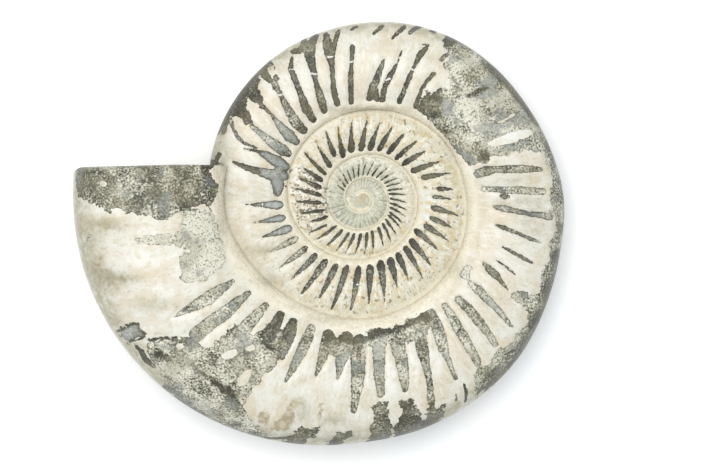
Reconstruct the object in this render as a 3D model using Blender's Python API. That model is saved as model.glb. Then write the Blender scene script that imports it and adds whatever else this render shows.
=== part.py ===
"""A polished perisphinctes ammonite, lying on one ground flank, as one faceted solid.

The fossil is one tube that coils out from the nucleus to the sawn aperture, each whorl lapping a little
over the one inside it. A place on it is given by its back angle, the degrees that the coil has turned
back from the left of its centre towards the nucleus, and by its share of the way across the flank, from
0 at the seam with the whorl inside it to 1 at the outer edge. Each line of vertices across a whorl
follows the ribbing, so that the grooves between the ribs stay crisp. Lengths are in millimetres until
the mesh is made.
"""

import math

import bmesh
import bpy
import numpy as np

MM = 0.001
TURN = 360.0

# Seam of each whorl on the one inside it: back angle, radius.
SEAM_KEYS = (
    (-15, 59.2), (10, 58.2), (30, 54.8), (60, 51.9), (90, 51.2), (120, 49.3), (150, 47.2), (180, 44.5),
    (225, 41.8), (270, 37.7), (315, 34.6), (360, 31.9), (405, 28.2), (450, 25.6), (495, 24.6), (540, 23.6),
    (585, 21.4), (630, 18.7), (675, 16.9), (720, 15.3), (810, 13.2), (900, 11.1), (990, 8.8), (1080, 6.8),
    (1200, 4.8), (1320, 3.4), (1440, 2.4), (1800, 0.8),
)
# Outer edge of the last whorl, as far back as it is open: back angle, radius.
EDGE_KEYS = (
    (-15, 124.3), (0, 123.4), (15, 122.5), (30, 120.2), (45, 117.0), (60, 112.9), (75, 108.4), (90, 104.2),
    (105, 101.6), (120, 98.6), (135, 95.2), (150, 90.9), (165, 87.7), (180, 86.3), (195, 83.4), (210, 81.0),
    (225, 79.9), (240, 78.9), (255, 77.4), (270, 75.2), (285, 73.2), (300, 71.5), (315, 69.7), (330, 68.3),
    (345, 67.0), (360, 66.0),
)
COVERED_SHARE = 0.25  # of a whorl's open width, hidden under the whorl outside it
OPEN_SHARE = 1 / (1 + COVERED_SHARE)
HALF_THICKNESS = 0.215  # of the outer radius
CREST_SHARE = 0.43  # where the flank is highest
WALL_POWER = 2.2  # roundness of the slope from the crest down to the seam
EDGE_POWER = 2.35  # roundness of the outer edge

# The aperture is sawn off along a straight line that passes above the coil's centre.
SAWN_OFFSET = 14.0
SAWN_BACK = -9.2
SAWN_FADE = 15.0
SAWN_ROUND = 4.5
ROUNDED_FROM = 0.4  # share of the flank by which the rounding is full, from none at the seam
SAWN_COLUMNS = (0.0, 0.45, 1.3, 2.9, 7.5, 13.0)

# The eye in the middle of the coil, where the innermost whorl runs into a low dome.
NUCLEUS = 1440.0
EYE_FROM = 1260.0
EYE_HEIGHT = 2.1
EYE_FALL = 0.02
EYE_TURN = -30.0  # lean of the line that closes the coil, so that it curls round the eye

# Grooves between the ribs, in even runs: first and last back angle, and how many.
GROOVE_RUNS = (
    (12.0, 22.5, 2), (32.6, 67.6, 6), (75.2, 132.2, 9), (141.0, 199.0, 8), (207.0, 264.0, 8),
    (274.6, 345.0, 9), (353.8, 472.5, 14), (481.0, 565.0, 11), (575.6, 651.0, 8), (661.5, 713.8, 6),
    (724.0, 1080.0, 41), (1089.0, 1436.0, 40),
)
# How the grooves look along the coil: back angle, the shares of the open flank where they start and end,
# their width, and their lean towards the aperture in degrees.
GROOVE_KEYS = (
    (12, 0.12, 0.62, 5.0, 2), (36, 0.13, 0.66, 6.2, 2), (50, 0.11, 0.60, 4.2, 2),
    (68, 0.10, 0.57, 5.0, 3), (83, 0.10, 0.50, 4.6, 4), (100, 0.10, 0.70, 4.8, 4),
    (128, 0.12, 0.78, 3.2, 4), (141, 0.16, 0.79, 4.4, 5), (160, 0.30, 0.77, 2.6, 5),
    (175, 0.20, 0.77, 2.6, 5), (192, 0.10, 0.86, 4.6, 4), (225, 0.10, 0.84, 3.8, 5),
    (241, 0.09, 0.80, 2.0, 5), (264, 0.10, 0.74, 3.8, 9), (276, 0.11, 0.84, 2.6, 7),
    (288, 0.10, 0.90, 3.2, 11), (305, 0.09, 0.90, 3.8, 12), (328, 0.08, 0.88, 4.2, 9),
    (345, 0.08, 0.80, 4.0, 6), (364, 0.08, 0.74, 3.3, 3), (400, 0.09, 0.78, 3.2, 3),
    (446, 0.10, 0.84, 3.2, 5), (480, 0.09, 0.72, 3.1, 8), (520, 0.11, 0.82, 2.8, 7),
    (560, 0.11, 0.80, 2.8, 6), (600, 0.08, 0.76, 2.6, 8), (650, 0.10, 0.84, 3.2, 10),
    (700, 0.12, 0.86, 2.3, 7), (760, 0.12, 0.80, 1.9, 8), (840, 0.12, 0.80, 1.7, 10),
    (960, 0.14, 0.78, 1.2, 12), (1060, 0.2, 0.7, 0.8, 12), (EYE_FROM, 0.30, 0.70, 0.4, 12),
    (NUCLEUS, 0.30, 0.70, 0.3, EYE_TURN),
)
GROOVE_DEPTH = 1.2  # at the full width, and less in proportion
FULL_WIDTH = 4.0
WIDEST_AT = 0.3  # share of a groove's length, from its inner end
LEAST_WIDTH = 0.1
GROOVE_FOOT = 1.3  # where a groove's slope ends, in half widths from its middle line
TROUGH_DEPTH = 0.25  # of the faint hollow that carries on past each groove's ends
UNDERSIDE_DEPTH = 0.3  # of the depth above, where the lower flank is ground
SMOOTH_WALL = 0.08  # share of the flank next to the seam with hardly any relief
SMOOTH_EDGE = (0.68, 0.94)  # shares between which the relief dies out towards the polished outer edge

# Columns of each groove, as shares of the way to the middle of the rib beside it.
GROOVE_COLUMNS = (-0.5, 0.0, 0.5)
INNER_FROM = 709.0
INNER_COLUMNS = (0.0, 1.0)
INNERMOST_FROM = 1085.0
INNERMOST_COLUMNS = (0.0,)
# Rows across the open flank, and the number of rows from there round to the outermost line.
TOP_ROWS = (0.0, 0.06, 0.16, 0.32, 0.54, 0.78, 1.0)
BASE_ROWS = (0.0, 0.06, 0.18, 0.5, 0.78, 1.0)
EDGE_ROWS = 3
LAPPED_TOP_ROWS = (0.0, 0.06, 0.18, 0.46, 0.76, 1.0)
LAPPED_BASE_ROWS = (0.0, 0.07, 0.22, 1.0)
INNER_ROWS = (0.0, 0.08, 0.25, 0.7, 1.0)
INNERMOST_ROWS = (0.0, 0.16, 0.6, 1.0)
SEAM_LIP = 0.03  # of the open flank, between its last row and the seam of the next whorl

# The coil's middle plane slopes, because the fossil lies on a flank and is thickest at the aperture.
RISE_TO_LEFT = 0.050
RISE_TO_FRONT = 0.004
GROUND_OFF = 1.2
WELD = 0.001

SHARP_ANGLE = 38.0
STONE_COLOUR = (0.73, 0.69, 0.58, 1.0)
STONE_ROUGHNESS = 0.3


def smooth_step(t):
    t = np.clip(t, 0.0, 1.0)
    return t * t * (3 - 2 * t)


def through(keys, at):
    """A smooth curve through pairs of a back angle and a length."""
    x, y = np.array(keys, float).T
    slopes = np.gradient(y, x)
    at = np.clip(at, x[0], x[-1])
    i = np.clip(np.searchsorted(x, at) - 1, 0, len(x) - 2)
    span = x[i + 1] - x[i]
    t = (at - x[i]) / span
    ends = y[i] * (1 + 2 * t) * (1 - t) ** 2 + y[i + 1] * t**2 * (3 - 2 * t)
    return ends + span * t * (1 - t) * (slopes[i] * (1 - t) - slopes[i + 1] * t)


def groove_key(column, back):
    """One column of GROOVE_KEYS, in straight lines between its rows."""
    return float(np.interp(back, [key[0] for key in GROOVE_KEYS], [key[column] for key in GROOVE_KEYS]))


def groove_start(back):
    return groove_key(1, back)


def groove_end(back):
    return groove_key(2, back)


def groove_width(back):
    return groove_key(3, back)


def groove_lean(back):
    return groove_key(4, back)


def seam_radius(back):
    return through(SEAM_KEYS, back)


def sawn_line(radius):
    """Back angle of the sawn line at a radius."""
    return -np.degrees(np.arcsin(SAWN_OFFSET / radius))


def emergence():
    """Back angle of the rib line that ends where the sawn face meets the whorl inside."""
    corner = TURN + sawn_line(seam_radius(SAWN_BACK))
    return float(corner - groove_lean(corner) * (0.5 - OPEN_SHARE))


EMERGES = emergence()


def outer_radius(back):
    """Radius of the outer edge, also where the next whorl hides it."""
    above = seam_radius(back - TURN)
    hidden = above + COVERED_SHARE * (above - seam_radius(back))
    return np.where(back < EMERGES, through(EDGE_KEYS, back), hidden)


def half_thickness(back):
    return HALF_THICKNESS * outer_radius(back)


def edge_height(share):
    """Height of the flank outside its crest, as a share of the half thickness."""
    t = np.clip((share - CREST_SHARE) / (1 - CREST_SHARE), 0.0, 1.0)
    return (1 - t**EDGE_POWER) ** (1 / EDGE_POWER)


def wall_height(share):
    """Height of the flank inside its crest, from 0 at the seam to 1 at the crest."""
    t = np.clip(share / CREST_SHARE, 0.0, 1.0)
    return (1 - (1 - t) ** WALL_POWER) ** (1 / WALL_POWER)


def seam_height(back):
    """Height at which this whorl's seam lies on the whorl inside it."""
    inner = back + TURN
    share = (seam_radius(back) - seam_radius(inner)) / (outer_radius(inner) - seam_radius(inner))
    return half_thickness(inner) * edge_height(share)


def flank_height(back, share, radius):
    """Height of the smooth flank above the coil's middle plane."""
    crest, foot = half_thickness(back), seam_height(back)
    if share < CREST_SHARE:
        height = foot + (crest - foot) * wall_height(share)
    else:
        height = crest * edge_height(share)
    dome = EYE_HEIGHT - EYE_FALL * radius**2
    return height + (dome - height) * smooth_step((back - EYE_FROM) / (NUCLEUS - EYE_FROM))


def groove_depth(back, open_share, offset, half_cell):
    """Depth at a place, offset from the middle line of its groove, half a cell being to the next rib."""
    start, end = groove_start(back), groove_end(back)
    along = min(max((open_share - start) / (end - start), 0.0), 1.0)
    swell = math.sqrt(along / WIDEST_AT) if along < WIDEST_AT else (1 - along) / (1 - WIDEST_AT)
    width = groove_width(back) * swell
    if abs(offset) > half_cell:
        return 0.0
    slope = smooth_step(GROOVE_FOOT - 2 * abs(offset) / max(width, LEAST_WIDTH))
    groove = min(width / FULL_WIDTH, 1.0) * slope
    return GROOVE_DEPTH * groove + TROUGH_DEPTH * smooth_step(1 - abs(offset) / half_cell)


class Column:
    """A line of vertices across a whorl, which follows the ribs beside one groove."""

    def __init__(self, back, groove, half_cell):
        self.back, self.groove, self.half_cell = back, groove, half_cell

    def back_at(self, share):
        """The line leans with the ribs. It follows the sawn line at the aperture, and where it emerges."""
        if self.back == EMERGES and share > OPEN_SHARE:
            inner, outer = seam_radius(self.back), outer_radius(self.back)
            return TURN + sawn_line(inner + share * (outer - inner))
        lean = groove_lean(self.back) * (0.5 - share)
        near = smooth_step(1 - (self.back - SAWN_BACK) / SAWN_FADE)
        inner, outer = seam_radius(SAWN_BACK), outer_radius(SAWN_BACK)
        sawn = sawn_line(inner + share * (outer - inner)) - SAWN_BACK
        return float(self.back + lean + near * (sawn - lean))

    def sunk(self, share, radius, side):
        """How far the grooves lower the flank here."""
        open_share = share / OPEN_SHARE if self.back > EMERGES else share
        offset = math.radians(self.back - self.groove) * radius
        depth = groove_depth(self.back, open_share, offset, math.radians(self.half_cell) * radius)
        fade = smooth_step(share / SMOOTH_WALL) * smooth_step((self.back - SAWN_BACK) / SAWN_FADE)
        fade *= 1 - smooth_step((share - SMOOTH_EDGE[0]) / (SMOOTH_EDGE[1] - SMOOTH_EDGE[0]))
        return depth * fade * (1 if side > 0 else UNDERSIDE_DEPTH)

    def rounding(self, radius):
        """How far the surface draws in beside the sawn face, whose edge is rounded over."""
        reach = SAWN_ROUND - math.radians(self.back - SAWN_BACK) * radius
        return SAWN_ROUND - math.sqrt(SAWN_ROUND**2 - reach**2) if reach > 0 else 0.0

    def point(self, share, side):
        """The place at a share of this line, on the upper side (1) or the lower side (-1)."""
        back = self.back_at(share)
        inner, outer = float(seam_radius(back)), float(outer_radius(back))
        radius = inner + share * (outer - inner)
        height = float(flank_height(back, share, radius) - self.sunk(share, radius, side))
        inset = self.rounding(radius) * smooth_step(share / ROUNDED_FROM)
        height -= inset * height / half_thickness(back)
        radius -= inset * (share - 0.5) * 2
        angle = math.radians(180 + back)
        x, y = radius * math.cos(angle), radius * math.sin(angle)
        return x, y, side * height - RISE_TO_LEFT * x - RISE_TO_FRONT * y


def columns_of(back):
    """Where a groove at this back angle has its columns."""
    if back < INNER_FROM:
        return GROOVE_COLUMNS
    return INNER_COLUMNS if back < INNERMOST_FROM else INNERMOST_COLUMNS


def make_columns():
    """Every column from the aperture to the nucleus, in order."""
    grooves = np.concatenate([np.linspace(first, last, count) for first, last, count in GROOVE_RUNS])
    half_cells = np.gradient(grooves) / 2
    columns = [Column(SAWN_BACK + step, grooves[0], half_cells[0]) for step in SAWN_COLUMNS]
    for groove, half_cell in zip(grooves, half_cells):
        columns += [Column(groove + share * half_cell, groove, half_cell) for share in columns_of(groove)]
    clear = half_cells[0] / 4
    columns = [c for c in columns if c.back <= NUCLEUS and abs(c.back - EMERGES) > clear]
    beside = int(np.argmin(abs(grooves - EMERGES)))
    columns.append(Column(EMERGES, grooves[beside], half_cells[beside]))
    return sorted(columns, key=lambda column: column.back)


class Shell:
    """Collects the vertices and the faces of the solid."""

    def __init__(self):
        self.points, self.faces = [], []

    def line(self, points):
        """Adds a line of vertices and returns their numbers."""
        first = len(self.points)
        self.points += points
        return list(range(first, len(self.points)))

    def lace(self, one, one_keys, other, other_keys):
        """Faces between two lines that may differ in length, whose keys tell how far along a vertex is."""
        i = j = 0
        while i + 1 < len(one) or j + 1 < len(other):
            if j + 1 == len(other) or (i + 1 < len(one) and one_keys[i + 1] <= other_keys[j + 1]):
                corners = (one[i], one[i + 1], other[j])
                i += 1
            else:
                corners = (one[i], other[j + 1], other[j])
                j += 1
            if len(set(corners)) == 3:
                self.faces.append(corners)

    def fan(self, loop, centre):
        self.faces += [(a, b, centre) for a, b in zip(loop, loop[1:] + loop[:1])]


def edge_shares():
    """Shares from the open flank round to the outermost line, evenly spaced round the edge."""
    first = math.asin(((OPEN_SHARE - CREST_SHARE) / (1 - CREST_SHARE)) ** (EDGE_POWER / 2))
    angles = np.linspace(first, math.pi / 2, EDGE_ROWS + 1)[1:]
    return [CREST_SHARE + (1 - CREST_SHARE) * math.sin(angle) ** (2 / EDGE_POWER) for angle in angles]


def lapped_rows(back, side):
    """Rows across a whorl that the next one laps over."""
    if back < INNER_FROM:
        return LAPPED_TOP_ROWS if side > 0 else LAPPED_BASE_ROWS
    return INNER_ROWS if back < INNERMOST_FROM else INNERMOST_ROWS


def add_open_whorl(shell, columns):
    """The last whorl from the aperture back to where it goes under, with the sawn face.

    Returns the feet of its columns on each side, and the flank part of its last column on each side.
    """
    edge = edge_shares()
    top = [row * OPEN_SHARE for row in TOP_ROWS]
    base = [row * OPEN_SHARE for row in BASE_ROWS]
    section = [(share, 1) for share in top + edge]
    section += [(share, -1) for share in edge[-2::-1] + base[::-1]]
    lines = [shell.line([column.point(share, side) for share, side in section]) for column in columns]
    upper, lower = lines[-1][: len(top)], lines[-1][-len(base) :][::-1]
    # The whorl starts and ends at the two corners of the sawn face.
    lines[0][0], lines[0][-1] = upper[-1], lower[-1]
    keys = range(len(section))
    for one, other in zip(lines, lines[1:]):
        shell.lace(one, keys, other, keys)
    inside = lines[-1][len(top) - 1 : 1 - len(base)]
    outline = lines[0]
    shell.lace(outline, np.linspace(0, 1, len(outline)), inside, np.linspace(0, 1, len(inside)))
    return [line[0] for line in lines], [line[-1] for line in lines], upper, lower


def add_lapped_whorls(shell, open_columns, columns, feet, first, side):
    """One side of the whorls inside, laced along the seam to the feet of the whorl outside."""
    feet, foot_backs = list(feet), [column.back_at(0.0) for column in open_columns]
    line, shares = first[:-1], [share * OPEN_SHARE for share in (TOP_ROWS if side > 0 else BASE_ROWS)][:-1]
    rim, rim_backs = [first[-1], line[-1]], [foot_backs[0] + TURN, foot_backs[0] + TURN]
    for column in columns:
        new_shares = [row * OPEN_SHARE * (1 - SEAM_LIP) for row in lapped_rows(column.back, side)]
        new_line = shell.line([column.point(share, side) for share in new_shares])
        shell.lace(line, shares, new_line, new_shares)
        line, shares = new_line, new_shares
        feet.append(line[0])
        foot_backs.append(column.back_at(0.0))
        rim.append(line[-1])
        rim_backs.append(column.back_at(shares[-1]))
    laced = 1 + sum(back + TURN <= rim_backs[-1] for back in foot_backs)
    shell.lace(rim, rim_backs, feet[:laced], [back + TURN for back in foot_backs[:laced]])
    centre = shell.line([(0.0, 0.0, side * EYE_HEIGHT)])[0]
    shell.fan(feet[laced - 1 :] + line[1:], centre)


def build_shell():
    shell = Shell()
    columns = make_columns()
    open_columns = [column for column in columns if column.back <= EMERGES]
    lapped = [column for column in columns if column.back > EMERGES]
    top_feet, base_feet, upper, lower = add_open_whorl(shell, open_columns)
    add_lapped_whorls(shell, open_columns, lapped, top_feet, upper, 1)
    add_lapped_whorls(shell, open_columns, lapped, base_feet, lower, -1)
    return shell


def grind_underside(made):
    """Grinds a flat on the lowest part of the flank that the fossil lies on."""
    ground = min(vertex.co.z for vertex in made.verts) + GROUND_OFF
    parts = [*made.verts, *made.edges, *made.faces]
    cut = bmesh.ops.bisect_plane(
        made, geom=parts, dist=WELD, plane_co=(0, 0, ground), plane_no=(0, 0, -1), clear_outer=True
    )
    rim = [part for part in cut["geom_cut"] if isinstance(part, bmesh.types.BMEdge)]
    flat = bmesh.ops.triangle_fill(made, edges=rim, use_beauty=True, normal=(0, 0, -1))
    for face in flat["geom"]:
        if isinstance(face, bmesh.types.BMFace):
            face.smooth = False


def stand_on_origin(made):
    """Puts the origin in the middle of the floor under the fossil."""
    lows = [min(vertex.co[axis] for vertex in made.verts) for axis in range(3)]
    highs = [max(vertex.co[axis] for vertex in made.verts) for axis in range(3)]
    shift = (-(lows[0] + highs[0]) / 2, -(lows[1] + highs[1]) / 2, -lows[2])
    bmesh.ops.translate(made, vec=shift, verts=made.verts)


def make_mesh(shell):
    made = bmesh.new()
    corners = [made.verts.new(point) for point in shell.points]
    for face in shell.faces:
        made.faces.new([corners[i] for i in face]).smooth = True
    loose = [vertex for vertex in made.verts if not vertex.link_faces]
    bmesh.ops.delete(made, geom=loose, context="VERTS")
    bmesh.ops.recalc_face_normals(made, faces=made.faces)
    grind_underside(made)
    stand_on_origin(made)
    bmesh.ops.scale(made, vec=(MM, MM, MM), verts=made.verts)
    mesh = bpy.data.meshes.new("ammonite")
    made.to_mesh(mesh)
    made.free()
    mesh.set_sharp_from_angle(angle=math.radians(SHARP_ANGLE))
    return mesh


def stone_material():
    material = bpy.data.materials.new("polished_stone")
    material.use_nodes = True
    shader = material.node_tree.nodes["Principled BSDF"]
    shader.inputs["Base Color"].default_value = STONE_COLOUR
    shader.inputs["Roughness"].default_value = STONE_ROUGHNESS
    shader.inputs["Metallic"].default_value = 0.0
    return material


def main():
    for old in list(bpy.data.objects):
        bpy.data.objects.remove(old)
    fossil = bpy.data.collections.new("polished_perisphinctes_ammonite")
    bpy.context.scene.collection.children.link(fossil)
    mesh = make_mesh(build_shell())
    mesh.materials.append(stone_material())
    fossil.objects.link(bpy.data.objects.new("ammonite", mesh))


main()
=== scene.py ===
"""The looks of a polished perisphinctes ammonite: its fine surface, its stone, a studio floor and light.

A place on the coil is given by its back angle, the degrees that the coil has turned back from the left of
its centre towards the nucleus, and by its share of the way across the flank, from 0 at the seam with the
whorl inside it to 1 at the outer edge. Lengths are in millimetres until the mesh is made.
"""

import math

import bmesh
import bpy
import numpy as np
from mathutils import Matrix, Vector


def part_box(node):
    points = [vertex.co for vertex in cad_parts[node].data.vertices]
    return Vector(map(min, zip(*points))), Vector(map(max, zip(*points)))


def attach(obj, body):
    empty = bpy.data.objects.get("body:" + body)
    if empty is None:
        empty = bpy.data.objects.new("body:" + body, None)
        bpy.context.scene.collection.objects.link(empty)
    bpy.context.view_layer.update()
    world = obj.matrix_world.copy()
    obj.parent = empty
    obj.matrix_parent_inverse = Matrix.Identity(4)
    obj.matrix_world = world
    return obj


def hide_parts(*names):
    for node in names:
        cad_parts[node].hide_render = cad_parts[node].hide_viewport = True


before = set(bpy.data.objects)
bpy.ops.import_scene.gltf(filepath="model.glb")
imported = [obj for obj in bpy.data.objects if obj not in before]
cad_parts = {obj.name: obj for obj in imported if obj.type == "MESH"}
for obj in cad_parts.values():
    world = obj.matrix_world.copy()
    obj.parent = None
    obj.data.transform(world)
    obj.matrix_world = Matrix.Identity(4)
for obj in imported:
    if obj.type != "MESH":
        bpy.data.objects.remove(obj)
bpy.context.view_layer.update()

MM = 0.001
TURN = 360.0

# Seam of each whorl on the one inside it: back angle, radius.
SEAM_KEYS = (
    (-15, 59.2), (10, 58.2), (30, 54.8), (60, 51.9), (90, 51.2), (120, 49.3), (150, 47.2), (180, 44.5),
    (225, 41.8), (270, 37.7), (315, 34.6), (360, 31.9), (405, 28.2), (450, 25.6), (495, 24.6), (540, 23.6),
    (585, 21.4), (630, 18.7), (675, 16.9), (720, 15.3), (810, 13.2), (900, 11.1), (990, 8.8), (1080, 6.8),
    (1200, 4.8), (1320, 3.4), (1440, 2.4), (1800, 0.8),
)
# Outer edge of the last whorl, as far back as it is open: back angle, radius.
EDGE_KEYS = (
    (-15, 124.3), (0, 123.4), (15, 122.5), (30, 120.2), (45, 117.0), (60, 112.9), (75, 108.4), (90, 104.2),
    (105, 101.6), (120, 98.6), (135, 95.2), (150, 90.9), (165, 87.7), (180, 86.3), (195, 83.4), (210, 81.0),
    (225, 79.9), (240, 78.9), (255, 77.4), (270, 75.2), (285, 73.2), (300, 71.5), (315, 69.7), (330, 68.3),
    (345, 67.0), (360, 66.0),
)
COVERED_SHARE = 0.25  # of a whorl's open width, hidden under the whorl outside it
OPEN_SHARE = 1 / (1 + COVERED_SHARE)
HALF_THICKNESS = 0.215  # of the outer radius
CREST_SHARE = 0.43  # where the flank is highest
WALL_POWER = 2.2  # roundness of the slope from the crest down to the seam
EDGE_POWER = 2.35  # roundness of the outer edge

# The aperture is sawn off along a straight line that passes above the coil's centre.
SAWN_OFFSET = 14.0  # distance of the line from the centre
SAWN_BACK = -9.2  # back angle of the first column, which follows the line
SAWN_FADE = 15.0  # degrees over which the columns come to lean with the ribs
SAWN_ROUND = 4.5  # radius of the face's rounded corners
ROUNDED_FROM = 0.4  # share of the flank over which the rounding sets in

# The eye in the middle of the coil, where the innermost whorl runs into a low dome.
NUCLEUS = 1440.0  # back angle where the coil ends
EYE_FROM = 1260.0
EYE_HEIGHT = 2.1
EYE_FALL = 0.02  # how fast the dome falls with the square of the radius

# The coil's middle plane slopes, because the fossil lies on a flank and is thickest at the aperture.
RISE_TO_LEFT = 0.050
RISE_TO_FRONT = 0.004
WELD = 0.001

# Lean of the ribs towards the aperture across the flank: back angle, degrees.
LEAN_KEYS = (
    (12, 2), (50, 2), (68, 3), (83, 4), (128, 4), (141, 5), (175, 5), (192, 4), (225, 5), (241, 5),
    (264, 9), (276, 7), (288, 11), (305, 12), (328, 9), (345, 6), (364, 3), (400, 3), (446, 5), (480, 8),
    (520, 7), (560, 6), (600, 8), (650, 10), (700, 7), (760, 8), (840, 10), (960, 12), (1260, 12),
    (1440, -30),
)


def smooth_step(t):
    t = np.clip(t, 0.0, 1.0)
    return t * t * (3 - 2 * t)


def curve_through(keys):
    """A function that reads a smooth curve through pairs of a back angle and a value."""
    x, y = np.array(keys, float).T
    slopes = np.gradient(y, x)

    def read(at):
        at = np.clip(at, x[0], x[-1])
        i = np.clip(np.searchsorted(x, at) - 1, 0, len(x) - 2)
        span = x[i + 1] - x[i]
        t = (at - x[i]) / span
        ends = y[i] * (1 + 2 * t) * (1 - t) ** 2 + y[i + 1] * t**2 * (3 - 2 * t)
        return ends + span * t * (1 - t) * (slopes[i] * (1 - t) - slopes[i + 1] * t)

    return read


seam_radius = curve_through(SEAM_KEYS)
open_edge = curve_through(EDGE_KEYS)


def lean_at(back):
    return np.interp(back, *zip(*LEAN_KEYS))


def sawn_line(radius):
    """Back angle of the sawn line at a radius."""
    return -np.degrees(np.arcsin(SAWN_OFFSET / radius))


def emergence():
    """Back angle of the rib line that ends where the sawn face meets the whorl inside."""
    corner = TURN + sawn_line(seam_radius(SAWN_BACK))
    return float(corner - lean_at(corner) * (0.5 - OPEN_SHARE))


EMERGES = emergence()


def outer_radius(back):
    """Radius of the outer edge, also where the next whorl hides it."""
    above = seam_radius(back - TURN)
    hidden = above + COVERED_SHARE * (above - seam_radius(back))
    return np.where(back < EMERGES, open_edge(back), hidden)


def half_thickness(back):
    return HALF_THICKNESS * outer_radius(back)


def edge_height(share):
    """Height of the flank outside its crest, as a share of the half thickness."""
    t = np.clip((share - CREST_SHARE) / (1 - CREST_SHARE), 0.0, 1.0)
    return (1 - t**EDGE_POWER) ** (1 / EDGE_POWER)


def wall_height(share):
    """Height of the flank inside its crest, from 0 at the seam to 1 at the crest."""
    t = np.clip(share / CREST_SHARE, 0.0, 1.0)
    return (1 - (1 - t) ** WALL_POWER) ** (1 / WALL_POWER)


def seam_height(back):
    """Height at which this whorl's seam lies on the whorl inside it."""
    inner = back + TURN
    share = (seam_radius(back) - seam_radius(inner)) / (outer_radius(inner) - seam_radius(inner))
    return half_thickness(inner) * edge_height(share)


def flank_height(back, share, radius):
    """Height of the smooth flank above the coil's middle plane."""
    crest, foot = half_thickness(back), seam_height(back)
    inside = foot + (crest - foot) * wall_height(share)
    height = np.where(share < CREST_SHARE, inside, crest * edge_height(share))
    dome = EYE_HEIGHT - EYE_FALL * radius**2
    return height + (dome - height) * smooth_step((back - EYE_FROM) / (NUCLEUS - EYE_FROM))


def line_back(column, share):
    """Back angle along a column. It leans with the ribs, and follows the sawn line at the aperture."""
    lean = lean_at(column) * (0.5 - share)
    near = smooth_step(1 - (column - SAWN_BACK) / SAWN_FADE)
    inner, outer = seam_radius(SAWN_BACK), outer_radius(SAWN_BACK)
    sawn = sawn_line(inner + share * (outer - inner)) - SAWN_BACK
    back = column + lean + near * (sawn - lean)
    if column != EMERGES:
        return back
    inner, outer = seam_radius(column), outer_radius(column)
    return np.where(share > OPEN_SHARE, TURN + sawn_line(inner + share * (outer - inner)), back)


def corner_inset(column, radius):
    """How far the surface draws in beside the sawn face, whose edge is rounded over."""
    reach = np.maximum(SAWN_ROUND - np.radians(column - SAWN_BACK) * radius, 0.0)
    return SAWN_ROUND - np.sqrt(SAWN_ROUND**2 - reach**2)
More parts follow.
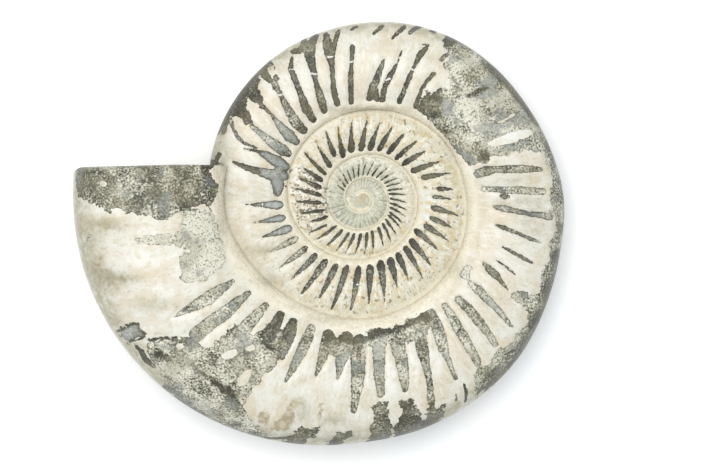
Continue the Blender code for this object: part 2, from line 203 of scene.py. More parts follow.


# Every outline and stroke below is in plan, measured from the coil's centre. Tones go from 0, pale with
# dark specks, to 1, dark olive. Below 0 the stone carries a painted bluish reflection, standing in for
# light off polished hollows.

# Blades are the dark stone between two ribs. Those of the last whorl are strokes: a tone, then x, y and
# width at each place along the stroke.
STROKES = (
    (0.45, -55, -35, 1.6, -60, -38.5, 4.2, -65, -42, 5.4, -71, -45.5, 4, -79.5, -49.8, 0.8),
    (0.45, -48, -40, 1.8, -52.5, -43.5, 4, -58, -48.5, 5.6, -64, -52.5, 5.6, -70, -57.5, 6),
    (0.55, -41, -45.2, 2.4, -44, -48.6, 4, -47.5, -52.5, 5, -51, -56.5, 6),
    (0.8, -34.8, -49.4, 3.6, -36.8, -53.5, 4.8, -40, -58, 6),
    (0.7, -29.4, -52.4, 3.6, -30.8, -56.6, 5.4, -32.6, -61.6, 5, -34.4, -66.6, 3.4),
    (0.5, -21.6, -55, 3.2, -23.4, -59.4, 4.8, -26, -65, 4.4, -29, -71, 3.2, -32.6, -77.6, 0.9),
    (0.55, -14.4, -58, 4.8, -15.8, -63.5, 4.6, -17.4, -69, 3.2, -20, -75.6, 0.8),
    (0.5, -6.8, -59, 5, -7.6, -64, 6, -9.2, -69, 4.4, -10.4, -76, 1.1),
    (0.6, -1, -60, 5, -1.8, -67, 6.2, -1.8, -73.4, 5.8, -2.2, -79, 5, -3, -85.4, 3, -3.8, -90, 2.2),
    (0.5, 7, -61.5, 5.6, 7, -67.5, 5, 7, -73.4, 4.4, 7.4, -78.4, 3.8, 7.8, -83, 3),
    (0.5, 15, -62.5, 6, 16.4, -67.5, 5.4, 17.4, -73.4, 4.6, 18, -78.4, 3.6, 18.2, -80.8, 2.4),
    (0.6, 24.6, -59.5, 5, 25.6, -64.5, 5, 26.6, -69.4, 3.6, 28, -75.4, 2.6, 28.8, -80.4, 2.2, 29, -85, 3),
    (0.5, 29, -49, 4, 31.4, -53.6, 4.6, 33, -58.6, 5, 34.4, -64, 4, 36, -67.6, 2.2, 39.6, -76.4, 1.5),
    (0.45, 35, -45.6, 2.4, 37.6, -49.6, 3.6, 41, -55.6, 4, 44, -60.6, 4, 47.4, -66.6, 3.6, 49.2, -70, 3),
    (0.5, 40.8, -43, 3, 44.5, -46.2, 3.8, 49, -51.6, 3.8, 54, -58, 3, 56.6, -61.8, 2.4),
    (0.45, 45.8, -36, 2, 49, -38.6, 3.6, 53, -42.6, 3.2, 58, -47.6, 2.4, 62, -52.5, 1.7, 63.8, -54.6, 0.7),
    (0.75, 51.4, -27.4, 0.9, 54, -29.9, 3, 56.6, -32.4, 3, 58.4, -34.6, 1.7, 62, -38.8, 0.6),
    (0.7, 57, -26.2, 0.4, 61, -29, 0.8, 65, -32.3, 0.4),
    (0.7, 59.6, -20.5, 0.6, 65, -23.4, 1.3, 69, -25.6, 1.5, 72.4, -27.4, 0.7),
    (0.65, 57, -11.3, 0.8, 61, -12.8, 1.6, 66, -14.8, 1.1, 71, -16.9, 1.3, 75.5, -18.7, 0.9),
    (-0.3, 56, -3.5, 0.9, 60, -4.2, 2.7, 64, -5, 2.3, 70, -6.4, 1.6, 75, -6.9, 2.2, 80, -7.8, 3),
    (0.5, 51.4, 4.1, 1.9, 55, 4.1, 1.8, 60, 3.6, 2.8, 65, 3.6, 3.1, 71, 3.3, 3.2, 77, 3, 2.6),
    (0.6, 59, 0.9, 0.9, 60.6, 1, 2.4, 62, 0.7, 1.2),
    (0.6, 49.2, 10.6, 3.6, 52, 11.6, 4, 56, 12.4, 2.8, 62, 12.4, 3, 68, 12.6, 3.3, 76, 12.4, 1.8),
    (0.9, 22.8, 39.2, 2.2, 23.6, 42, 1.5, 25, 46, 1.2, 27.5, 50, 1.4, 30.4, 53, 1.6),
    (0.8, 33.6, 59, 1.7, 35.6, 61.2, 1.5),
    (0.9, 15.8, 41.4, 2.2, 17.5, 45.5, 1.6, 20, 51.5, 1.8, 22.4, 57, 1.1, 24, 60.4, 2.5, 26.4, 63.4, 2.2,
     28, 65.3, 0.7),
    (0.9, 8.5, 42, 2.3, 9.4, 47, 1.9, 11.5, 51.5, 2.3, 13.6, 55.2, 1.5, 15, 58, 0.5, 17, 63.5, 0.4),
    (0.8, 3, 42.6, 2.6, 4.5, 47, 3.3, 6.5, 52, 2.6, 8.4, 57, 1.4, 9.2, 59.4, 0.5),
    (0.8, 6.2, 42.4, 2.2, 5.4, 46, 2.4),
    (0.85, -4.8, 41, 1.9, -4.8, 47, 2.2, -5, 52, 2, -4.6, 57, 1.3, -4.4, 60, 1.6, -4.2, 64.4, 2.3),
    (0.85, -10.6, 40.2, 2.1, -12, 45, 2.6, -12.5, 51, 1.8, -13, 57, 2.1, -14, 62, 4.2, -15, 66, 3.6,
     -15.4, 69.6, 2.4),
    (0.9, -13, 62, 3, -11.6, 67, 1.8, -10.2, 71.4, 1.4),
    (0.85, -16.2, 37.6, 2.8, -17.5, 42, 3.5, -19.6, 49, 1.8, -21, 55, 2.6, -22.4, 61, 4.4, -21.6, 66, 3.6,
     -19.8, 69.4, 2.2),
    (0.85, -22.4, 61, 3.6, -24.8, 65, 3, -25, 67.6, 2.4),
    (0.8, -21, 33.8, 2.8, -24, 38.4, 3.7, -26.4, 45, 2.2, -28.8, 51, 2.3, -30.6, 55.4, 2, -29.8, 60, 0.9),
    (0.9, -29.6, 62.6, 1.8, -26.8, 63, 2.8, -24.6, 64.4, 2.6),
    (0.7, -25, 29.2, 3.2, -28, 31.8, 4.2, -31.4, 37.5, 3.3, -34.5, 43.5, 1.7, -37, 48.6, 2.6),
    (-0.5, -28.2, 24.2, 2.8, -31, 26.6, 4.8, -34.6, 30.4, 3.2, -38.6, 35.6, 0.9, -42.6, 39.6, 1.2),
    (-0.2, -31.6, 19.2, 3, -34, 20.6, 4.6, -38, 23.4, 4, -42.6, 27.2, 2.6, -47, 30.8, 1.6),
    (0.7, -45, 21.5, 0.7, -50, 23.4, 0.9, -53, 26, 1.4, -55, 30, 1.2, -56.2, 33.4, 1.8),
    (-0.6, -32.6, 13.6, 3.4, -36, 15.6, 5, -41, 18.4, 3.2, -45, 20.2, 0.9, -50, 21, 0.5),
    (-0.6, -33.4, 9.6, 3.8, -38, 10, 5, -43, 11.2, 3.2, -49, 13, 2.2, -54.8, 15.6, 1.1),
    (-0.6, -33.4, 4, 3, -38, 4, 6.2, -43, 5, 2.4, -49.2, 5.5, 0.6),
    (-0.6, -35.4, 4.5, 4.6, -36.6, 9, 5.4, -35, 13.6, 3.6), (0.9, 5, 70.4, 1.2, 8.4, 73.4, 1.6),
    (0.9, 12.9, 68.2, 0.8, 15, 70.6, 1.6, 18, 73.2, 1.6),
    (0.9, 20, 70.4, 1.2, 22.6, 72.6, 1.6, 25, 73.6, 1.2), (0.8, -4.6, 72.2, 0.9, -2.4, 73.4, 1.2),
    (0.8, 25.8, 65.6, 0.8, 27, 65.6, 0.8), (0.9, 29, 71.6, 0.8, 31, 71, 0.8),
    (0.85, -61, 18.8, 2, -62.6, 15.6, 1.6, -64.4, 13, 1.6), (0.8, -59, 28.4, 1.8, -58.2, 31, 1.4),
    (0.8, 40, -83.2, 0.7, 40, -86.4, 0.7), (0.8, 43, -78.4, 0.7, 44.4, -82.6, 1.3, 43.9, -86.6, 0.7),
    (1.0, -96.4, -62.4, 0.8, -93.6, -65, 1.9, -92, -68.6, 2.2, -88, -71.4, 1.4),
    (1.0, -104, -56.6, 0.8, -101.4, -54.4, 0.9, -97, -52.8, 1, -94.4, -53, 0.7),
    (1.0, -94, -54, 0.7, -91.8, -57.2, 0.9, -93.4, -59.2, 0.8, -98, -60.6, 0.5),
    (1.0, -90.4, -60, 0.8, -84, -59, 1, -78, -59, 0.5), (1.0, -38, -56, 0.8, -42, -61, 0.9, -38, -64, 0.7),
    (0.95, -12, -61, 0.5, -6, -64.6, 0.8, 0, -62.4, 0.6), (1.0, 26.6, -49.4, 1.8, 29.6, -51, 1.2),
    (1.0, 44, 43.2, 0.6, 49, 45.6, 1, 53.4, 47, 0.7), (1.0, 30, 44, 0.8, 33.4, 46.6, 1),
    (1.0, 26.4, 36.4, 1.6, 29, 38.4, 1.8), (1.0, 28, 41, 1.2, 31, 42.4, 1.3),
    (0.9, 50.6, 19.4, 1, 53, 17, 1.2), (0.95, -40, -102, 0.8, -34, -102, 0.8, -28, -100.6, 0.9),
    (0.9, -70.8, -55.6, 0.8, -69.4, -57.8, 0.6), (0.9, -61.4, -48.2, 0.5, -57.6, -49.8, 0.6),
    (0.9, -67, -41.8, 0.4, -63.8, -44.6, 0.5), (0.8, -116, -16, 1.2, -116.4, -17.6, 0.8),
)
# Patches of bare matrix: a tone, then x and y of each corner.
PATCHES = (
    (0.66, -130, 18, -66, 18, -65.4, 12.5, -62.5, 8, -60.2, 4.5, -61.6, 0.5, -65, -2.6, -70, -3.6,
     -75, -4.4, -79, -7.6, -85, -9.4, -89, -8, -93.5, -7.2, -99, -6.4, -101.5, -4.8, -104, -4.4,
     -107.4, -6.2, -110, -3.8, -114, -2.4, -119, -0.6, -121, 1.6, -120.6, 6, -122, 11),
    (0.0, -70, -5, -63.5, -5.5, -61, -12, -60, -17, -58.8, -21, -57.5, -25, -59, -29, -63, -32.2, -67, -35,
     -73, -35.8, -77.6, -35.2, -76, -31, -77.4, -27, -76, -23.6, -73.4, -22.6, -76, -20.4, -81, -19.8,
     -88, -19.4, -93, -18.8, -96.4, -17.4, -93, -16, -87, -15.2, -80, -15, -77, -13.4, -77, -9.6, -75, -6.4),
    (-0.6, -104, -56.4, -102.4, -54.6, -97, -52.6, -94.6, -53, -93.6, -55.2, -91.6, -56.6, -92, -58.6,
     -95, -59, -98, -60.4, -100, -62.4, -101.2, -60),
    (0.5, -90, -60.6, -84, -59.3, -79, -59.2, -74, -58.4, -70.4, -59.6, -68.6, -62, -66.6, -63.8,
     -63.6, -62.6, -60.6, -59.6, -57, -56.4, -53.6, -53.4, -49.4, -56.4, -46.4, -58, -43.6, -56, -40, -53.4,
     -36, -53.6, -31, -57, -31.6, -61, -33.6, -66, -37, -70.6, -40, -73.6, -44, -77.6, -47.4, -83, -49, -85,
     -51, -88, -49.6, -90.4, -47, -94.6, -43.6, -98, -39.6, -101.6, -36, -108, -70, -100, -90, -86,
     -84, -78, -86, -72, -89.6, -68, -91.6, -63),
    (0.5, -16, -59, -14.6, -56, -12.6, -57, -10.6, -58.8, -8, -57.2, -5.6, -56.3, -3, -58.8, -1, -57.3,
     1.4, -57.4, 3, -56, 7, -55.7, 12, -54.3, 17, -53.4, 20, -51, 24, -49, 27, -48.6, 30, -52, 27.6, -57,
     25, -60.4, 21, -60.6, 17, -62, 12, -62.4, 9, -61.6, 5, -63, 1, -62.6, -2, -64.6, -5, -66, -9, -67.6,
     -10.6, -68, -13, -66, -15.4, -67),
    (0.75, 4.2, -87.4, 7, -86.6, 10.4, -86.6, 11.2, -90, 12, -95, 12.6, -99.6, 8, -108, 1, -106, 3.8, -98,
     4.4, -92),
    (0.75, 15, -86.2, 18, -85.2, 21, -85.2, 23, -88, 24.6, -92, 25.4, -95.2, 27, -92.4, 28, -88, 28.6, -84,
     28.2, -80, 29.4, -78, 30, -81, 30.2, -86, 31.2, -89.6, 33, -90, 34, -86.6, 35, -87, 34.6, -92, 32, -98,
     20, -106, 13.2, -104, 13.4, -99.6, 15, -95, 17, -91),
    (0.8, -28.4, -98, -25, -96.9, -20, -97, -17.4, -96.4, -18.6, -99.6, -21, -101, -25, -104.4, -30, -109,
     -38, -106, -32, -102.4),
    (0.8, -15.4, -106, -13.2, -101.4, -10, -99, -5, -98.6, -4, -100.6, -8, -103, -12, -107),
    (0.4, 35.4, 72, 34.6, 67, 34, 65, 36.4, 63, 36, 59.4, 33, 57.6, 36, 54, 37.6, 50.6, 37, 46.4, 34, 46.6,
     30, 45, 27, 45.4, 25.4, 42.4, 24, 39.6, 24, 37, 27, 34.6, 30, 32.6, 31.4, 29.6, 34, 27, 38, 23.4,
     41, 19, 43.6, 15.6, 46, 14.2, 50, 15, 53, 15.8, 54, 17.4, 59, 18, 65, 19.6, 70, 21, 71, 20.4, 77.6, 20,
     78, 16, 80.4, 12.4, 81, 8, 79.8, 3, 80.4, -5, 82, -9, 82.6, -13, 81, -16.4, 79.2, -20, 80, -25,
     78, -28.4, 76.4, -31, 76.6, -37, 75, -40, 71.6, -41.6, 68.6, -39.4, 65.6, -39.6, 62, -41, 64.4, -43,
     66, -45, 69.6, -45.4, 71, -48.4, 70, -54, 67, -56, 64.6, -59.4, 62, -62.6, 58, -63.8, 56, -65.6,
     55.4, -70, 52.4, -71, 49, -71, 47, -75.4, 48, -79, 47.8, -83, 49, -86, 51, -82.4, 54, -81, 70, -72,
     88, -40, 96, 0, 84, 36, 60, 62, 40, 72),
    (0.95, -56.4, 33, -55.4, 35.6, -52, 33.4, -48, 31, -46.6, 31.4, -47.4, 35, -49.2, 40, -48.9, 43,
     -46, 41.4, -43, 38.6, -41.4, 39.6, -43, 44, -44, 48, -43.5, 52.6, -40.6, 50, -37.6, 46.6, -36, 49,
     -37, 54, -37.8, 57, -41, 63, -62, 48, -68, 30, -60.6, 27.4, -58.6, 30),
    (0.3, 41, -32.6, 42, -30, 44.4, -28.8, 46.4, -29.6, 45.4, -31.6, 45.8, -34, 44.4, -34.8, 42, -34.2),
)
# Zones within the patches and blades that have a tone of their own, given in the same way.
ZONES = (
    (0.45, -97, -78, -89, -69, -80, -73, -73, -75.4, -68, -76.4, -62, -80.6, -56, -85, -51.4, -89,
     -48.4, -95.4, -43.6, -100, -37, -103, -34, -110, -70, -104, -92, -90),
    (0.78, 23, 39, 25, 35, 30, 34, 34, 35, 34, 42, 32, 46, 28, 45.4, 25, 44),
    (-0.5, 33.6, 38, 34.4, 35, 37, 34.2, 39.4, 36.6, 38.6, 40.4, 36, 42.4, 34, 41),
    (-0.5, 46, 43.4, 50, 45.4, 54, 46.8, 57.6, 46.4, 58.6, 43.4, 54, 42.4, 49, 42.2),
    (0.95, 43, 42.4, 47, 45, 53, 47.8, 54, 47, 48.6, 44.4, 44, 42),
    (0.05, 39, 57, 44, 58.6, 50, 60.4, 49, 57.6, 44, 56, 39.6, 54), (0.1, 37, 44, 38, 50, 35, 54, 34, 50),
    (0.1, 39.6, 41, 44, 43.6, 46, 41, 43, 37, 39, 35, 38.6, 38), (0.1, 52, 40.4, 60, 46, 62, 44, 56, 40),
    (-0.4, 53, 31.4, 58, 34.6, 66, 37.4, 72, 36, 74, 32, 66, 31, 58, 29),
    (-0.4, 56, 21.6, 64, 25, 71, 26, 72, 23, 66, 20.6, 58, 19.6),
    (-0.4, 38, 20.6, 41, 22, 47.6, 16.4, 48, 14, 44, 13), (1.0, 50, 19, 53, 21, 54.6, 18, 52, 15.6, 49, 16),
    (1.0, 54, 58, 60, 54, 66, 47, 73, 38, 77, 33, 74, 31, 69, 38, 62, 46, 56, 52, 52, 56),
    (1.0, 33, 70, 34, 65, 36, 64, 41, 66, 41, 70), (0.52, 78, 24, 80, 12, 81, 0, 81, -14, 92, -14, 92, 24),
    (0.74, 78, -30, 80, -22, 92, -20, 84, -50, 70, -66, 50, -86, 48, -80, 58, -70, 70, -56),
    (0.45, 12, -57, 14, -61.4, 24, -60.6, 26, -57, 20, -55, 14, -55.4),
    (0.0, 0, -67, 10, -67, 10, -64, 0, -63),
    (0.9, -16, -62, -15, -56, -8, -57.6, -2, -57, 4, -56, 14, -54, 20, -51, 27, -48, 29, -51, 22, -54,
     12, -57, 4, -60, -4, -61.6, -12, -60),
    (0.9, -40, -54, -37, -47, -28, -50, -28, -57, -33, -57, -37, -56),
    (-0.4, -84, -61, -80, -60.4, -76, -62, -80, -64, -86, -63.4),
    (1.0, -89, -66, -86, -64.6, -80, -68, -82, -70),
    (0.0, -86, -74, -80, -71, -72, -71.4, -73, -75, -80, -76),
    (0.95, -72, -71, -66, -74, -52, -83, -54, -86, -64, -78),
    (-0.3, -57.6, -36, -54, -34, -56, -38, -60, -41, -62, -39),
    (-0.3, -52, -41, -48, -39, -50, -45, -56, -48, -57, -44),
    (0.85, -57, 14, -56, 18, -49, 15, -43.5, 13.4, -43, 9.4, -49, 11),
    (0.85, -50, 6.8, -43.4, 7, -42.6, 3, -50, 4), (0.85, -52, 22.8, -43, 21, -43, 18.2, -52, 20),
    (0.85, -40, 40, -36.6, 34, -40, 30, -49, 32, -46, 38),
    (0.68, -64, -2, -62, 6, -66, 12, -76, 10, -82, -4, -76, -6),
)
# Ribs and islands of shell within the patches: x and y of each corner.
ISLANDS = (
    (-112, 5, -110.6, 7.4, -108.2, 7, -107.4, 4.6, -109.6, 4.2),
    (-100.6, 4.4, -99.4, 5.6, -97.6, 4.6, -99.4, 3.8),
    (-60.4, -67, -57, -64.4, -53.6, -63.6, -52.4, -65.6, -55, -67.6, -58, -68.6),
    (-53, -77.4, -50.4, -73.4, -46.8, -71.8, -47.2, -75, -49.6, -79.4, -52, -80),
    (-49.6, -63.4, -46.4, -61.4, -45.4, -63.6, -48, -65),
    (52.6, 23.5, 60, 27, 68, 29.5, 71.6, 29.6, 73, 27.8, 71, 26.2, 62, 23.2, 54.4, 22.2),
    (56, 31.8, 60, 33.4, 66, 37.6, 67.2, 37.2, 64, 34.8, 60, 32.4),
    (55, 17.6, 62, 18.4, 70, 20, 76.6, 19.6, 78.6, 17.4, 76, 15.4, 70, 15.2, 62, 14.6, 54, 14.4),
    (-41, 55.6, -38.2, 51, -37, 53, -37.6, 57), (-13.4, 66.4, -14.2, 70, -12.2, 70),
    (-22.6, 65, -23.8, 68.6, -21.8, 68.6), (13.8, -87, 11, -90, 12.8, -98, 14.6, -95, 15, -90),
    (-80, -62, -76, -61, -75, -63, -78, -64),
)
# Brownish stains on the shell.
STAINS = (
    (-45.2, -93.4, -41.4, -89.6, -39.4, -92, -39.4, -95, -43, -95.2),
    (-39, -98.6, -34, -92, -31.2, -88, -30.2, -85.4, -27.4, -85.4, -28.8, -89, -29.4, -95, -33, -98.6),
    (-113.6, -25.4, -111.4, -24.8, -110.2, -26.4, -111, -29, -113, -29.2),
    (-18.6, -92, -17.8, -86, -16.8, -86, -17.6, -93),
)
# Crumbled stone between the inner whorls.
CRUMBLE = (
    -31, 12, -27, 14.5, -24, 12, -19, 8, -15.4, 4, -14.6, -2, -14.4, -7, -17, -9.4, -22, -13, -25.4, -14,
    -27.4, -9, -29.6, -4, -30.6, 3, -31, 8,
)
# White calcite, as strokes: pearly bumps and thin veins across the blades.
VEINS = (
    (26.4, 2.8, 1.8, 27.8, 2.7, 1.4), (26.2, 0, 1.8, 28.2, -0.1, 1.6), (26.2, -3, 1.6, 28, -3.2, 1.4),
    (26, -7.8, 2.2, 27.4, -8.2, 2.2), (-6, 58, 0.5, -3.4, 58.2, 0.5), (-22.6, 53.2, 0.5, -19.6, 52.8, 0.5),
    (-35.6, 43.8, 0.6, -32, 44.6, 0.5), (-15, 60, 0.5, -12.4, 60.4, 0.5),
    (-42.4, -2.2, 0.5, -42.6, -4.2, 0.4), (-2.6, -36.4, 0.5, 0, -36, 0.4), (9, -42, 0.4, 11, -42.6, 0.5),
    (22.6, 1, 0.4, 24, 3.4, 0.5), (12, 51, 0.5, 9.8, 50.4, 0.5), (20.8, 55, 0.5, 22.6, 54.4, 0.4),
    (-31, 55, 0.5, -27.8, 55, 0.5), (60, 3.6, 0.3, 60.6, 5.2, 0.4),
)
# Yellowish grime on the shell: x, y, reach across and along, strength. Below 0 the shell is whiter.
GRIME = (
    (-119, -30, 7, 34, 0.8), (-108, -11, 9, 3.4, 0.8), (-112, -26.6, 2.4, 2.4, 1.6),
    (-119, -18, 2.6, 4, 1.0), (-107, -34, 8, 4.4, 1.1), (-97, -34, 9, 2.4, 0.5), (-88, -45, 8, 3, 0.6),
    (-112, -50, 5, 22, 0.7), (-98, -72, 6, 12, 1.1), (-60, -14, 3, 16, 0.5), (-53, 2, 8, 3, 0.4),
    (-42, -22, 7, 2.4, 0.6), (-40, -35, 6, 3, 0.5), (-107.6, -6, 7, 2, -1.4), (-94, -26, 12, 5, -0.9),
    (-86, -37, 12, 3, -0.6), (-92, -54, 9, 3, -0.5), (-10, -76, 3, 9, -0.8), (12.4, -76, 2.4, 8, -1.2),
    (22.6, -73, 2, 7, -1.0), (32, -71, 2.6, 5, -1.0), (-24, -80, 4, 8, -0.6), (-70, -50, 12, 2.4, -0.7),
    (-46, -52, 6, 2.4, -0.6), (64, 27, 8, 3, -1.2), (-22, 46, 3, 12, -0.6), (-30, 40, 5, 9, -0.5),
    (0, 54, 3, 10, -0.5), (-9, 54, 2, 10, -0.6), (66, -30, 9, 5, -0.5), (60, 8, 12, 2, 0.5),
    (64, -1, 10, 2, 0.5), (72, -10, 6, 8, 0.4), (-20, -52, 9, 2, 0.4), (40, -30, 5, 4, 0.4),
    (38, 28, 3, 14, 0.5), (-10, 46, 10, 2, 0.3), (-26, -88, 4, 7, 0.8), (-12, -94, 6, 3, 0.6),
    (-60, 18, 4, 8, 0.7), (54, -80, 5, 3, 0.6), (30, 38, 6, 3, 0.5), (0, 38, 22, 1.6, 0.6),
)
# Bare patches of the hidden underside: x, y, radius.
UNDER_PATCHES = (
    (60, 10, 22), (20, -75, 19), (-70, -45, 24), (-30, 52, 15), (66, -48, 14), (-20, -20, 18), (25, 24, 14),
)
# Blades of the whorls inside, along their ribs: back angle, inner and outer radius, and the widths near
# the inner end, in the middle and near the outer end.
BLADES = (
    (363, 33.6, 50.6, 4.2, 2.6, 0.6), (372.5, 33.6, 47.6, 3.6, 2.4, 0.6), (381, 32.3, 47.2, 3.8, 2.6, 0.6),
    (390, 31.9, 45.9, 3, 2.4, 0.6), (400, 31, 46.8, 2.8, 2.2, 0.6), (409, 30.2, 46.8, 3, 2.2, 0.8),
    (418, 29.8, 48.5, 3.2, 2.4, 1.6), (427, 29.8, 46.8, 3, 2.4, 1.2), (435.5, 28.9, 49.7, 2.8, 2.4, 1.2),
    (445, 28.5, 48, 3, 2.4, 1.4), (454, 28.1, 45.5, 3.4, 2.4, 0.7), (463, 27.2, 45.9, 3.6, 2.4, 0.6),
    (471.5, 27.6, 41.2, 3.6, 2.6, 0.6), (479.5, 27.2, 40.4, 3, 2.2, 0.6),
    (488, 26.8, 42.9, 3, 2.2, 0.6), (496, 26.4, 42.5, 3.2, 2.2, 0.6), (506, 25.5, 40.8, 3, 2, 0.6),
    (514.5, 28.5, 41.6, 3, 1.9, 0.6), (522.5, 29.8, 41.6, 2.6, 2.2, 0.6),
    (531, 29.3, 42.5, 2.8, 2.2, 0.6), (540, 29.8, 38.2, 2, 1.4, 0.6), (546.5, 31.9, 39.5, 2.2, 1.6, 0.6),
    (557, 26.4, 40, 2.8, 2, 0.6), (566, 23.4, 38.2, 2.8, 2.2, 0.8), (577, 22, 34, 2.4, 2.2, 1),
    (586.5, 21.7, 34, 2.2, 2, 1), (597, 21.7, 33, 2.2, 2.2, 1.2), (607.5, 21.2, 33.6, 2.6, 2, 0.8),
    (617.5, 20.4, 34.8, 3, 1.6, 0.5), (627.5, 20, 35.3, 3.2, 1.8, 0.5), (639, 20, 34, 3.2, 1.8, 0.5),
    (650, 19.1, 32.3, 3, 1.8, 0.5), (660, 21.2, 33.2, 2.6, 2, 0.6), (671, 18.7, 29.8, 2.8, 1.8, 0.6),
    (683, 18.3, 31.9, 2, 1.6, 0.8), (693, 18.3, 28.9, 2.6, 1.9, 0.8), (702.5, 17.9, 28.9, 2.6, 1.8, 0.6),
    (712, 17.5, 28.5, 2, 1.8, 0.9), (723, 17, 28.9, 1.8, 1.6, 0.9), (734, 16.8, 28, 1.6, 1.4, 0.6),
    (744, 16.5, 24.6, 1.6, 1.4, 0.6), (754, 18.5, 27.4, 1.2, 1.2, 0.5), (763, 15.7, 26.4, 1.3, 1.5, 0.5),
    (774, 15.5, 25.5, 1.4, 1.4, 0.5), (785, 15.3, 25, 1.5, 1.3, 0.4), (794, 15, 24.4, 1.5, 1.3, 0.4),
    (804, 14.7, 24, 1.5, 1.2, 0.4), (814, 14.3, 24, 1.5, 1.2, 0.4), (823, 14, 23.4, 1.4, 1.2, 0.4),
    (835, 13.6, 22.8, 1.4, 1.1, 0.4), (845, 13.3, 22.4, 1.3, 1.1, 0.4), (854, 13, 22, 1.3, 1, 0.4),
    (863, 12.6, 21.2, 1.2, 1, 0.4), (869, 12.4, 20.4, 1, 0.9, 0.4), (878, 12.1, 20, 1.1, 0.9, 0.4),
    (886, 11.8, 19.6, 1.1, 0.9, 0.4), (895, 11.6, 19.1, 1, 0.9, 0.4), (905, 11.4, 18.7, 1, 0.8, 0.4),
    (913, 11.3, 18.3, 1, 0.8, 0.4), (922, 11.2, 18, 0.9, 0.8, 0.4), (930, 11.1, 17.6, 0.9, 0.8, 0.4),
    (940, 10.9, 17.4, 0.8, 0.7, 0.3), (951, 10.6, 17, 0.8, 0.7, 0.3), (962, 10.2, 16.6, 0.8, 0.6, 0.3),
    (973, 9.8, 16.1, 0.7, 0.6, 0.3), (984, 9.4, 15.7, 0.6, 0.5, 0.3), (995, 9.2, 15.2, 0.7, 0.6, 0.3),
    (1006, 9, 14.6, 0.7, 0.5, 0.3), (1017, 8.8, 14, 0.7, 0.5, 0.3), (1028, 8.6, 13.4, 0.6, 0.5, 0.3),
    (1039, 8.4, 13, 0.6, 0.4, 0.3), (1050, 8.2, 12.4, 0.5, 0.4, 0.3),
)
# Tone of the blades of the whorls inside: back angle, tone.
INNER_TONE_KEYS = (
    (363, -0.9), (384, -0.8), (392, 0.6), (430, 0.8), (560, 0.8), (600, 0.95), (720, 0.95), (960, 0.9),
    (1100, 0.6),
)
DARK_FROM, DARK_TONE = 0.42, 0.8  # share of the flank from which their blades with a painted bluish reflection are dark

# Even runs of the small ribs of the innermost whorls and of the grooves of the hidden underside: first and
# last back angle, count.
FINE_RUN = (1061.0, 1420.0, 37)
UNDERSIDE_RUN = (14.0, 1070.0, 118)
UNDERSIDE_ENDS = (0.14, 0.74)  # shares of the open flank where the lower grooves start and end
UNDERSIDE_WIDTH = 0.36  # of the distance between two grooves
UNDERSIDE_SUNK = 0.4
UNDERSIDE_TONE = 0.55
UNDERSIDE_GRIME = 0.3

BLADE_SUNK = 0.45  # how deep a blade lies below the ribs
BLADE_SOFT, BLADE_SLOPE = 0.45, 0.9  # how far outside a blade its slope starts, and its width
RIB_SWELL = 0.35  # how high the ribs stand between the blades
SWELL_SOFT, SWELL_SLOPE = 2.6, 3.2  # how far outside a blade the swell starts to fall, and its width
RELIEF_FROM, RELIEF_TO, RELIEF_FADE = 0.08, 0.7, 0.22  # shares of the flank between which there is relief
BLADE_STATIONS = (0.0, 0.16, 0.5, 0.86, 1.0)  # where along a blade its widths are
FOOT_WIDTH = 0.62  # of the inner width, at the very inner end
TIP_WIDTH = 0.15  # at the very outer end of a narrow blade
WIDE_FROM, WIDE_TIP = 1.0, 0.55  # outer width of a wide blade, and the share of it that its tip has
CAP_SHARE = 0.06  # of a blade's length, over which its inner end is rounded
BLADE_REACH = 16  # degrees
STROKE_REACH = 14.0  # degrees
STROKE_SPREAD = 0.15  # added on each side to the widths in the tables, because their edges are soft
REACH = 9.0  # distances into the marks on the stone are kept within this
FAR = 1000.0


def rounded(along):
    """Rises from 0 to 1 like a quarter of a circle."""
    return np.sqrt(1 - (1 - np.clip(along, 0, 1)) ** 2)


def blade_half_width(along, widths):
    """Half the width of a blade along its length, with rounded ends."""
    inner, middle, outer = widths
    tip = TIP_WIDTH if outer < WIDE_FROM else WIDE_TIP * outer
    width = np.interp(along, BLADE_STATIONS, (FOOT_WIDTH * inner, inner, middle, outer, tip))
    return width / 2 * rounded(along / CAP_SHARE) * rounded((1 - along) / (CAP_SHARE / 2))


def grouped(row, size):
    """The numbers of a row in groups: the corners of an outline, or the places along a stroke."""
    return [row[start : start + size] for start in range(0, len(row), size)]


def stroke_distance(points, stroke):
    """Distance in plan into a stroke, below 0 outside."""
    places = grouped(stroke, 3)
    best = np.full(len(points), -FAR)
    for (x, y, width), (next_x, next_y, next_width) in zip(places, places[1:]):
        run = np.array((next_x - x, next_y - y))
        away = points - (x, y)
        t = np.clip(away @ run / (run @ run), 0.0, 1.0)
        gap = np.linalg.norm(away - t[:, None] * run, axis=1)
        best = np.maximum(best, (width + (next_width - width) * t) / 2 + STROKE_SPREAD - gap)
    return best


def outline_distance(points, outline):
    """Distance in plan into a closed outline, below 0 outside."""
    x, y = points.T
    corners = grouped(outline, 2)
    gap = np.full(len(points), FAR)
    inside = np.zeros(len(points), bool)
    for (x0, y0), (x1, y1) in zip(corners, corners[1:] + corners[:1]):
        run_x, run_y = x1 - x0, y1 - y0
        t = np.clip(((x - x0) * run_x + (y - y0) * run_y) / (run_x**2 + run_y**2), 0.0, 1.0)
        gap = np.minimum(gap, np.hypot(x - x0 - t * run_x, y - y0 - t * run_y))
        if run_y:
            inside ^= ((y0 > y) != (y1 > y)) & (x < x0 + run_x * (y - y0) / run_y)
    return np.where(inside, gap, -gap)


def back_angle(x, y):
    return (math.degrees(math.atan2(y, x)) - 180.0) % TURN


STROKE_BACKS = [[back_angle(x, y) for x, y, width in grouped(stroke[1:], 3)] for stroke in STROKES]


def near_strokes(column):
    """The strokes of the last whorl that may touch a column."""
    for stroke, backs in zip(STROKES, STROKE_BACKS):
        if min(abs((back - column + TURN / 2) % TURN - TURN / 2) for back in backs) < STROKE_REACH:
            yield stroke


